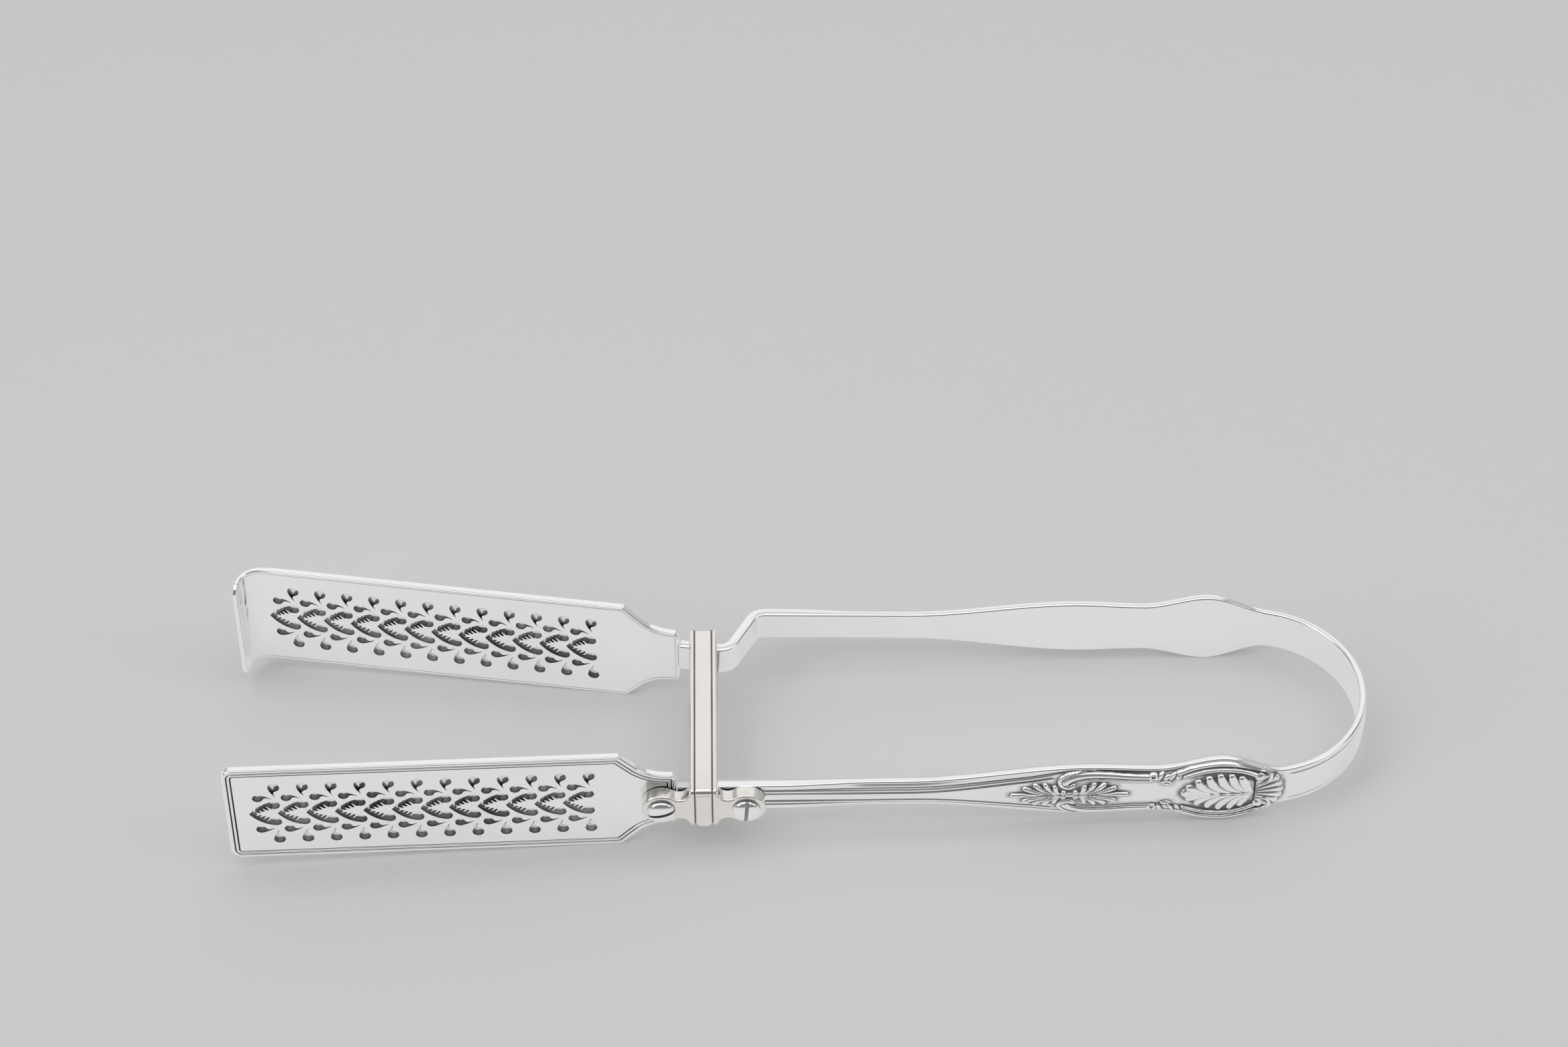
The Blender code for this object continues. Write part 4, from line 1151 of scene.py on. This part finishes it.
def wing_outline():
    """Clockwise outline of the wing on the bow's side: a round ear drawn in to the strap by fillets."""
    arm, g = sizes("arm"), sizes("guide")
    ear, fillet_x = ear_place(), g.strap_width / 2 + g.ear_fillet
    top = arm.stem_half_width + g.clearance + g.strap_thickness - g.strap_corner
    fillet_z = math.sqrt((g.ear_radius + g.ear_fillet) ** 2 - (ear - fillet_x) ** 2)
    toward = math.atan2(-fillet_z, ear - fillet_x)
    begin = math.pi + math.asin(min(max((fillet_z - top) / g.ear_fillet, 0), 1))
    start = math.pi + toward
    upper = np.vstack([
        [(g.panel_half_width + STRAP_EDGE, top)],
        arc((fillet_x, fillet_z), g.ear_fillet, begin, toward + 2 * math.pi - begin, 14),
        arc((ear, 0), g.ear_radius, start, -start, 26)[1:],
    ])
    # Two steps near the fillet's start are left out, so the outline doesn't fold there when inset
    upper = np.delete(upper, (2, 3), axis=0)
    return np.vstack([upper, upper[-2::-1] * (1, -1)])


def rounded_rim(base, front, radius, steps, land):
    """Insets and depths of a plate's edge: straight up from its base, round a quarter arc, then a land."""
    quarter = np.linspace(0, math.pi / 2, steps + 1)
    insets = np.concatenate([[0.0], radius * (1 - np.cos(quarter)), [radius + land]])
    return insets, np.concatenate([[base], front - radius + radius * np.sin(quarter), [front]])


def raised_plate(loop, insets, depths):
    """Closed plate on the guide's front: an outline through insets and depths, flat at both ends."""
    _, _, seat, _ = guide_place()
    rings = np.stack([offset(loop, d) for d in insets])
    y = np.broadcast_to((seat - depths)[:, None], rings.shape[:2])
    points = np.stack([rings[..., 0], y, rings[..., 1]], -1).reshape(-1, 3)
    count, last = len(loop), (len(insets) - 1) * len(loop)
    caps = np.stack([np.arange(count), last + np.arange(count)])
    return points, grid_faces(len(insets), count), caps


EAR_EDGE, EAR_LAND = 0.5 * MM, 0.15 * MM
TAB_EDGE, TAB_LAND, TAB_DEPTH = 0.2 * MM, 0.1 * MM, 0.8 * MM
TAB_SIDE_GAP, TAB_END_GAP, TAB_CORNER = 0.1 * MM, 0.15 * MM, 1.3 * MM
# Painted shade round the foot of the tab, where it sinks into the plate, ring by ring from its base to its
# face
TAB_DARK = (1.0, 0.8, 0.3, 0.0, 0.0, 0.0, 0.0)


def ears_piece(material):
    """The plate's two eared wings, with rounded edges, flush with the strap's rims."""
    centre, turn, _, _ = guide_place()
    front = sizes("guide").plate_thickness + RIM_RISE
    rim = rounded_rim(0.0, front, EAR_EDGE, 6, EAR_LAND)
    points, quads, caps = raised_plate(wing_outline()[::-1], *rim)
    both = np.concatenate([points, points * (-1, 1, 1)])
    shift = len(points)
    faces = [quads, shift + quads, caps, shift + caps]
    return new_piece("guide_ears", spin(both, turn, centre), faces, material)


def tab_piece(material):
    """The strap's panel where it runs down the front: a round-ended tab with rounded edges."""
    arm, g = sizes("arm"), sizes("guide")
    centre, turn, _, _ = guide_place()
    half = arm.stem_half_width + g.clearance + g.strap_thickness
    w, r = g.panel_half_width - TAB_SIDE_GAP, TAB_CORNER
    top, low = half - g.strap_corner, TAB_END_GAP - half
    loop = np.vstack([
        line((w, top), (-w, top), 6),
        line((-w, top), (-w, low + r), 6),
        arc((r - w, low + r), r, math.pi, math.pi / 2, 10),
        arc((w - r, low + r), r, -math.pi / 2, math.pi / 2, 10),
        line((w, low + r), (w, top), 6)[1:],
    ])
    rim = rounded_rim(g.plate_thickness - TAB_DEPTH, g.plate_thickness + RIM_RISE, TAB_EDGE, 4, TAB_LAND)
    points, quads, caps = raised_plate(loop, *rim)
    dark = np.repeat(TAB_DARK, len(loop))
    return new_piece("guide_tab", spin(points, turn, centre), [quads, caps], material, dark)


SCREW_COLUMNS = 61
# Shares of the head's radius: where the lines start to crowd, and the last line
CROWDED_FROM, LAST_LINE = 0.9, 0.9995
SLOT_WALL, SLOT_LIP, SLOT_LIP_DROP = 0.02 * MM, 0.14 * MM, 0.05 * MM
# Painted shade in a screw's slot, and under its head and round its shank
SLOT_SHADE, UNDERSIDE_SHADE = 0.9, 0.6
SHANK_RADIUS, HEAD_UNDERCUT, HEAD_EDGE, HEAD_SEAT = 1.3 * MM, 0.15 * MM, 0.2 * MM, 0.05 * MM


def screw_piece(name, across, slot_turn, material):
    """Slotted screw: a dome over lines that follow its slot, then a rim, an underside and a shank.

    A line at a distance x from the slot's middle has points z = t sqrt(r^2 - x^2), and the dome stands
    rim + (height - rim) sqrt(1 - (x^2 + z^2) / r^2) over the plate.
    """
    g = sizes("guide")
    centre, turn, seat, _ = guide_place()
    r, half = g.head_radius, g.slot_width / 2
    wall, lip = half + SLOT_WALL, half + SLOT_LIP
    crowded = np.linspace(CROWDED_FROM * r, LAST_LINE * r, 8)
    side = np.concatenate([line(lip, CROWDED_FROM * r, 22), crowded])
    x = np.concatenate([-side[::-1], [-wall, -half], line(-half, half, 6)[1:], [half, wall], side])[:, None]
    t = np.sin(np.linspace(-math.pi / 2, math.pi / 2, SCREW_COLUMNS))[None]
    z = t * np.sqrt(r ** 2 - x ** 2)
    x = np.broadcast_to(x, z.shape)
    out = np.clip((x ** 2 + z ** 2) / r ** 2, 0, 1)
    crown = g.head_rim + (g.head_height - g.head_rim) * np.sqrt(1 - out)
    in_slot = np.abs(x) < half + SLOT_WALL / 2
    level = np.where(in_slot, np.minimum(crown, g.head_height - g.slot_depth), crown)
    level = np.where(np.isclose(np.abs(x), wall), crown - SLOT_LIP_DROP, level)
    rows, columns = x.shape
    index = np.arange(rows * columns).reshape(rows, columns)
    edge = np.concatenate([index[:-1, 0], index[-1, :-1], index[:0:-1, -1], index[0, :0:-1]])
    rim = np.stack([x.ravel()[edge], z.ravel()[edge]], -1)
    rim /= np.linalg.norm(rim, axis=1, keepdims=True)
    turned = (
        (r, HEAD_EDGE),
        (r - HEAD_UNDERCUT, HEAD_SEAT),
        (SHANK_RADIUS, HEAD_SEAT),
        (SHANK_RADIUS, -g.plate_thickness),
    )
    lower = [lift(rim * radius, height) for radius, height in turned]
    flat = np.concatenate([np.stack([x, z, level], -1).reshape(-1, 3), *lower])
    c, s = math.cos(slot_turn), math.sin(slot_turn)
    over, up = flat[:, 0] * c + flat[:, 1] * s, flat[:, 1] * c - flat[:, 0] * s
    points = np.stack([over + across, seat - g.plate_thickness - RIM_RISE - flat[:, 2], up], -1)
    rings = np.concatenate([edge, rows * columns + np.arange(len(rim) * len(turned))])
    faces = [
        grid_faces(rows, columns, wrap_columns=False),
        rings[grid_faces(len(turned) + 1, len(rim))],
        rings[None, -len(rim):],
    ]
    dark = np.concatenate([SLOT_SHADE * in_slot.ravel(), np.full(len(rim) * len(turned), UNDERSIDE_SHADE)])
    return new_piece(name, spin(points, turn, centre), faces, material, dark, GUIDE_SHARP)


# Operators

ARMS = (("front", FRONT, FRONT_BODY), ("rear", REAR, REAR_BODY))
# Share of the bow's radius, on each side of its middle, at which two points on the bow are found
BLEND_REACH = 0.94


class TONGS_OT_bow(bpy.types.Operator):
    """Adds the spring bow"""

    bl_idname = "tongs.add_bow"
    bl_label = "Add Spring Bow"

    def execute(self, context):
        finish = sizes("finish")
        bow = bow_piece(silver("bow_silver", finish.polished, finish.bow_roughness))
        reach = sizes("arm").bow_radius * BLEND_REACH
        start, end = to_world(np.array([[0, -reach, 0], [0, reach, 0]]))
        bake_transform(bow)
        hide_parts("spring_bow")
        return {"FINISHED"}


class TONGS_OT_handles(bpy.types.Operator):
    """Adds the two ornamented handles"""

    bl_idname = "tongs.add_handles"
    bl_label = "Add Handles"

    def execute(self, context):
        finish = sizes("finish")
        metal = silver("handle_silver", finish.polished, finish.handle_roughness)
        for arm, side, body in ARMS:
            name = arm + "_handle"
            settle(handle_piece(name + "_silver", side, metal), body, name)
        return {"FINISHED"}


class TONGS_OT_blades(bpy.types.Operator):
    """Adds the two pierced blades"""

    bl_idname = "tongs.add_blades"
    bl_label = "Add Pierced Blades"

    def execute(self, context):
        finish = sizes("finish")
        metal = silver("blade_silver", finish.polished, finish.blade_roughness)
        for arm, side, body in ARMS:
            name = arm + "_blade"
            settle(blade_piece(name + "_silver", side, metal), body, name)
        return {"FINISHED"}


class TONGS_OT_guide(bpy.types.Operator):
    """Adds the guide loop with its eared plate"""

    bl_idname = "tongs.add_guide"
    bl_label = "Add Guide Loop"

    def execute(self, context):
        finish = sizes("finish")
        metal = silver("guide_silver", finish.warm, finish.guide_roughness)
        for piece in (strap_piece(metal), ears_piece(metal), tab_piece(metal)):
            settle(piece, FRONT_BODY, "guide_loop")
        return {"FINISHED"}


class TONGS_OT_screws(bpy.types.Operator):
    """Adds the two slotted screws"""

    bl_idname = "tongs.add_screws"
    bl_label = "Add Screws"

    def execute(self, context):
        guide, finish = sizes("guide"), sizes("finish")
        metal = silver("screw_silver", finish.polished, finish.screw_roughness)
        ear = ear_place()
        ends = (
            ("guide_screw_tip_side", -ear, guide.tip_screw_turn),
            ("guide_screw_bow_side", ear, guide.bow_screw_turn),
        )
        for name, across, slot_turn in ends:
            screw = screw_piece(name + "_silver", across, slot_turn, metal)
            settle(screw, FRONT_BODY, name)
        return {"FINISHED"}


class TONGS_OT_stage(bpy.types.Operator):
    """Adds the floor, the lights and the camera"""

    bl_idname = "tongs.add_stage"
    bl_label = "Add Stage"

    def execute(self, context):
        add_floor()
        add_lights()
        add_camera()
        context.scene.view_settings.view_transform = "Standard"
        return {"FINISHED"}


# Stage

FLOOR_REACH, FLOOR_RUN, SWEEP_RADIUS, BACKDROP_HEIGHT = 4.0, 1.2, 0.6, 3.0
FLOOR_ROUGHNESS = 0.85
# Distances from the tongs between which the floor turns evenly pale
FAR_FLOOR_RANGE = (0.45, 1.1)
# A lamp's place, its size and its power, and every lamp faces the tongs
LAMPS = {
    "overhead": ((0.0, -0.1, 1.1), (2.0, 1.1), 7.0),
    "behind": ((0.0, 0.66, 0.76), (1.7, 0.6), 1.3),
    "left": ((-0.9, -0.4, 0.6), (0.6, 0.6), 1.5),
    "right": ((0.9, -0.2, 0.5), (0.5, 0.5), 0.8),
}
SKY_COLOUR, SKY_STRENGTH = (0.9, 0.91, 0.93, 1), 0.24
SENSOR_WIDTH, CLIP_START = 36.0, 0.01


def floor_material():
    """Matt pale floor: lighter where the silver mirrors it, and evenly pale to the camera far away."""
    stage = sizes("stage")
    material = bpy.data.materials.new("pale_floor")
    material.use_nodes = True
    nodes, links = material.node_tree.nodes, material.node_tree.links
    shader = nodes["Principled BSDF"]
    shader.inputs["Base Color"].default_value = (*stage.floor, 1)
    shader.inputs["Roughness"].default_value = FLOOR_ROUGHNESS
    path = nodes.new("ShaderNodeLightPath")

    def whiten(under, ray, strength):
        """White light over a surface for one kind of ray: the surface, and the input for its amount."""
        white, mix, part = (nodes.new("ShaderNode" + kind) for kind in ("Emission", "MixShader", "Math"))
        white.inputs["Strength"].default_value = strength
        part.operation = "MULTIPLY"
        links.new(path.outputs[ray], part.inputs[0])
        links.new(part.outputs[0], mix.inputs[0])
        links.new(under, mix.inputs[1])
        links.new(white.outputs[0], mix.inputs[2])
        return mix.outputs[0], part.inputs[1]

    surface, amount = whiten(shader.outputs[0], "Is Glossy Ray", 1.0)
    amount.default_value = stage.floor_shine
    surface, amount = whiten(surface, "Is Camera Ray", stage.far_floor)
    place, away, far = (nodes.new("ShaderNode" + kind) for kind in ("TexCoord", "VectorMath", "MapRange"))
    away.operation, far.interpolation_type = "LENGTH", "SMOOTHSTEP"
    far.inputs["From Min"].default_value, far.inputs["From Max"].default_value = FAR_FLOOR_RANGE
    links.new(place.outputs["Object"], away.inputs[0])
    links.new(away.outputs["Value"], far.inputs["Value"])
    links.new(far.outputs["Result"], amount)
    links.new(surface, nodes["Material Output"].inputs["Surface"])
    return material


def add_floor():
    """Level floor that sweeps up behind the tongs: a run, an arc and a rise, carried along X."""
    sweep = arc((FLOOR_RUN, SWEEP_RADIUS), SWEEP_RADIUS, -90 * DEGREE, 90 * DEGREE, 24)
    rise = (FLOOR_RUN + SWEEP_RADIUS, BACKDROP_HEIGHT)
    profile = np.vstack([[(-FLOOR_REACH, 0.0)], sweep, [rise]])
    x = np.linspace(-FLOOR_REACH, FLOOR_REACH, 9)
    points = np.stack(np.broadcast_arrays(x[None], profile[:, :1], profile[:, 1:]), -1)
    mesh = bpy.data.meshes.new("floor")
    faces = grid_faces(len(profile), len(x), wrap_columns=False)
    mesh.from_pydata(points.reshape(-1, 3).tolist(), [], faces.tolist())
    mesh.shade_smooth()
    mesh.materials.append(floor_material())
    floor = bpy.data.objects.new("floor", mesh)
    bpy.context.scene.collection.objects.link(floor)


def add_lights():
    """Broad soft lamps overhead and behind, a small one on each side, and an even pale surround."""
    for name, (place, size, power) in LAMPS.items():
        light = bpy.data.lights.new(name, "AREA")
        light.shape = "RECTANGLE"
        light.size, light.size_y = size
        light.energy = power
        lamp = bpy.data.objects.new(name, light)
        lamp.location = place
        lamp.rotation_euler = (-Vector(place)).to_track_quat("-Z", "Y").to_euler()
        bpy.context.scene.collection.objects.link(lamp)
    world = bpy.data.worlds.new("studio")
    bpy.context.scene.world = world
    world.use_nodes = True
    nodes, links = world.node_tree.nodes, world.node_tree.links
    sky = nodes["Background"]
    sky.inputs["Color"].default_value = SKY_COLOUR
    sky.inputs["Strength"].default_value = SKY_STRENGTH
    seen, mix, path = (nodes.new("ShaderNode" + kind) for kind in ("Background", "MixShader", "LightPath"))
    seen.inputs["Color"].default_value = (1, 1, 1, 1)
    seen.inputs["Strength"].default_value = sizes("stage").far_floor
    links.new(path.outputs["Is Camera Ray"], mix.inputs[0])
    links.new(sky.outputs[0], mix.inputs[1])
    links.new(seen.outputs[0], mix.inputs[2])
    links.new(mix.outputs[0], nodes["World Output"].inputs["Surface"])


def add_camera():
    """Camera at the view's elevation and distance, looking along the view's middle."""
    stage = sizes("stage")
    e = stage.elevation
    ahead = np.array([0, math.cos(e), -math.sin(e)])
    upward = np.array([0, math.sin(e), math.cos(e)])
    lying = np.array(Matrix.Rotation(stage.heading, 3, "Z") @ Matrix.Rotation(stage.pitch, 3, "Y"))
    axes = np.stack([np.array([1.0, 0, 0]), upward, -ahead], -1)
    turn, origin = tongs_frame()
    place = turn @ (lying.T @ (-stage.distance * ahead - np.array(stage.aim))) + origin
    axes = turn @ lying.T @ axes
    camera = bpy.data.cameras.new("camera")
    camera.lens, camera.sensor_width = stage.lens, SENSOR_WIDTH
    camera.clip_start = CLIP_START
    obj = bpy.data.objects.new("camera", camera)
    obj.matrix_world = Matrix([[*axes[k], place[k]] for k in range(3)] + [[0, 0, 0, 1]])
    bpy.context.scene.collection.objects.link(obj)
    bpy.context.scene.camera = obj


# Registration

GROUPS = {
    "tongs_arm": TongsArmSizes,
    "tongs_blade": TongsBladeSizes,
    "tongs_guide": TongsGuideSizes,
    "tongs_finish": TongsFinish,
    "tongs_stage": TongsStage,
}
STEPS = (TONGS_OT_bow, TONGS_OT_handles, TONGS_OT_blades, TONGS_OT_guide, TONGS_OT_screws, TONGS_OT_stage)


class TONGS_PT_panel(bpy.types.Panel):
    """Lists the steps that build the tongs"""

    bl_idname = "TONGS_PT_panel"
    bl_label = "Asparagus Tongs"
    bl_space_type = "VIEW_3D"
    bl_region_type = "UI"
    bl_category = "Tongs"

    def draw(self, context):
        for step in STEPS:
            self.layout.operator(step.bl_idname)


CLASSES = (*GROUPS.values(), *STEPS, TONGS_PT_panel)


def register():
    for cls in CLASSES:
        bpy.utils.register_class(cls)
    for name, group in GROUPS.items():
        setattr(bpy.types.Scene, name, PointerProperty(type=group))


def unregister():
    for name in GROUPS:
        delattr(bpy.types.Scene, name)
    for cls in reversed(CLASSES):
        bpy.utils.unregister_class(cls)


def main():
    for obj in [o for o in bpy.data.objects if o.name in ("Cube", "Light", "Camera")]:
        bpy.data.objects.remove(obj, do_unlink=True)
    register()
    bpy.ops.tongs.add_bow()
    bpy.ops.tongs.add_handles()
    bpy.ops.tongs.add_blades()
    bpy.ops.tongs.add_guide()
    bpy.ops.tongs.add_screws()
    bpy.ops.tongs.add_stage()
    bpy.context.view_layer.update()


if __name__ == "__main__":
    main()
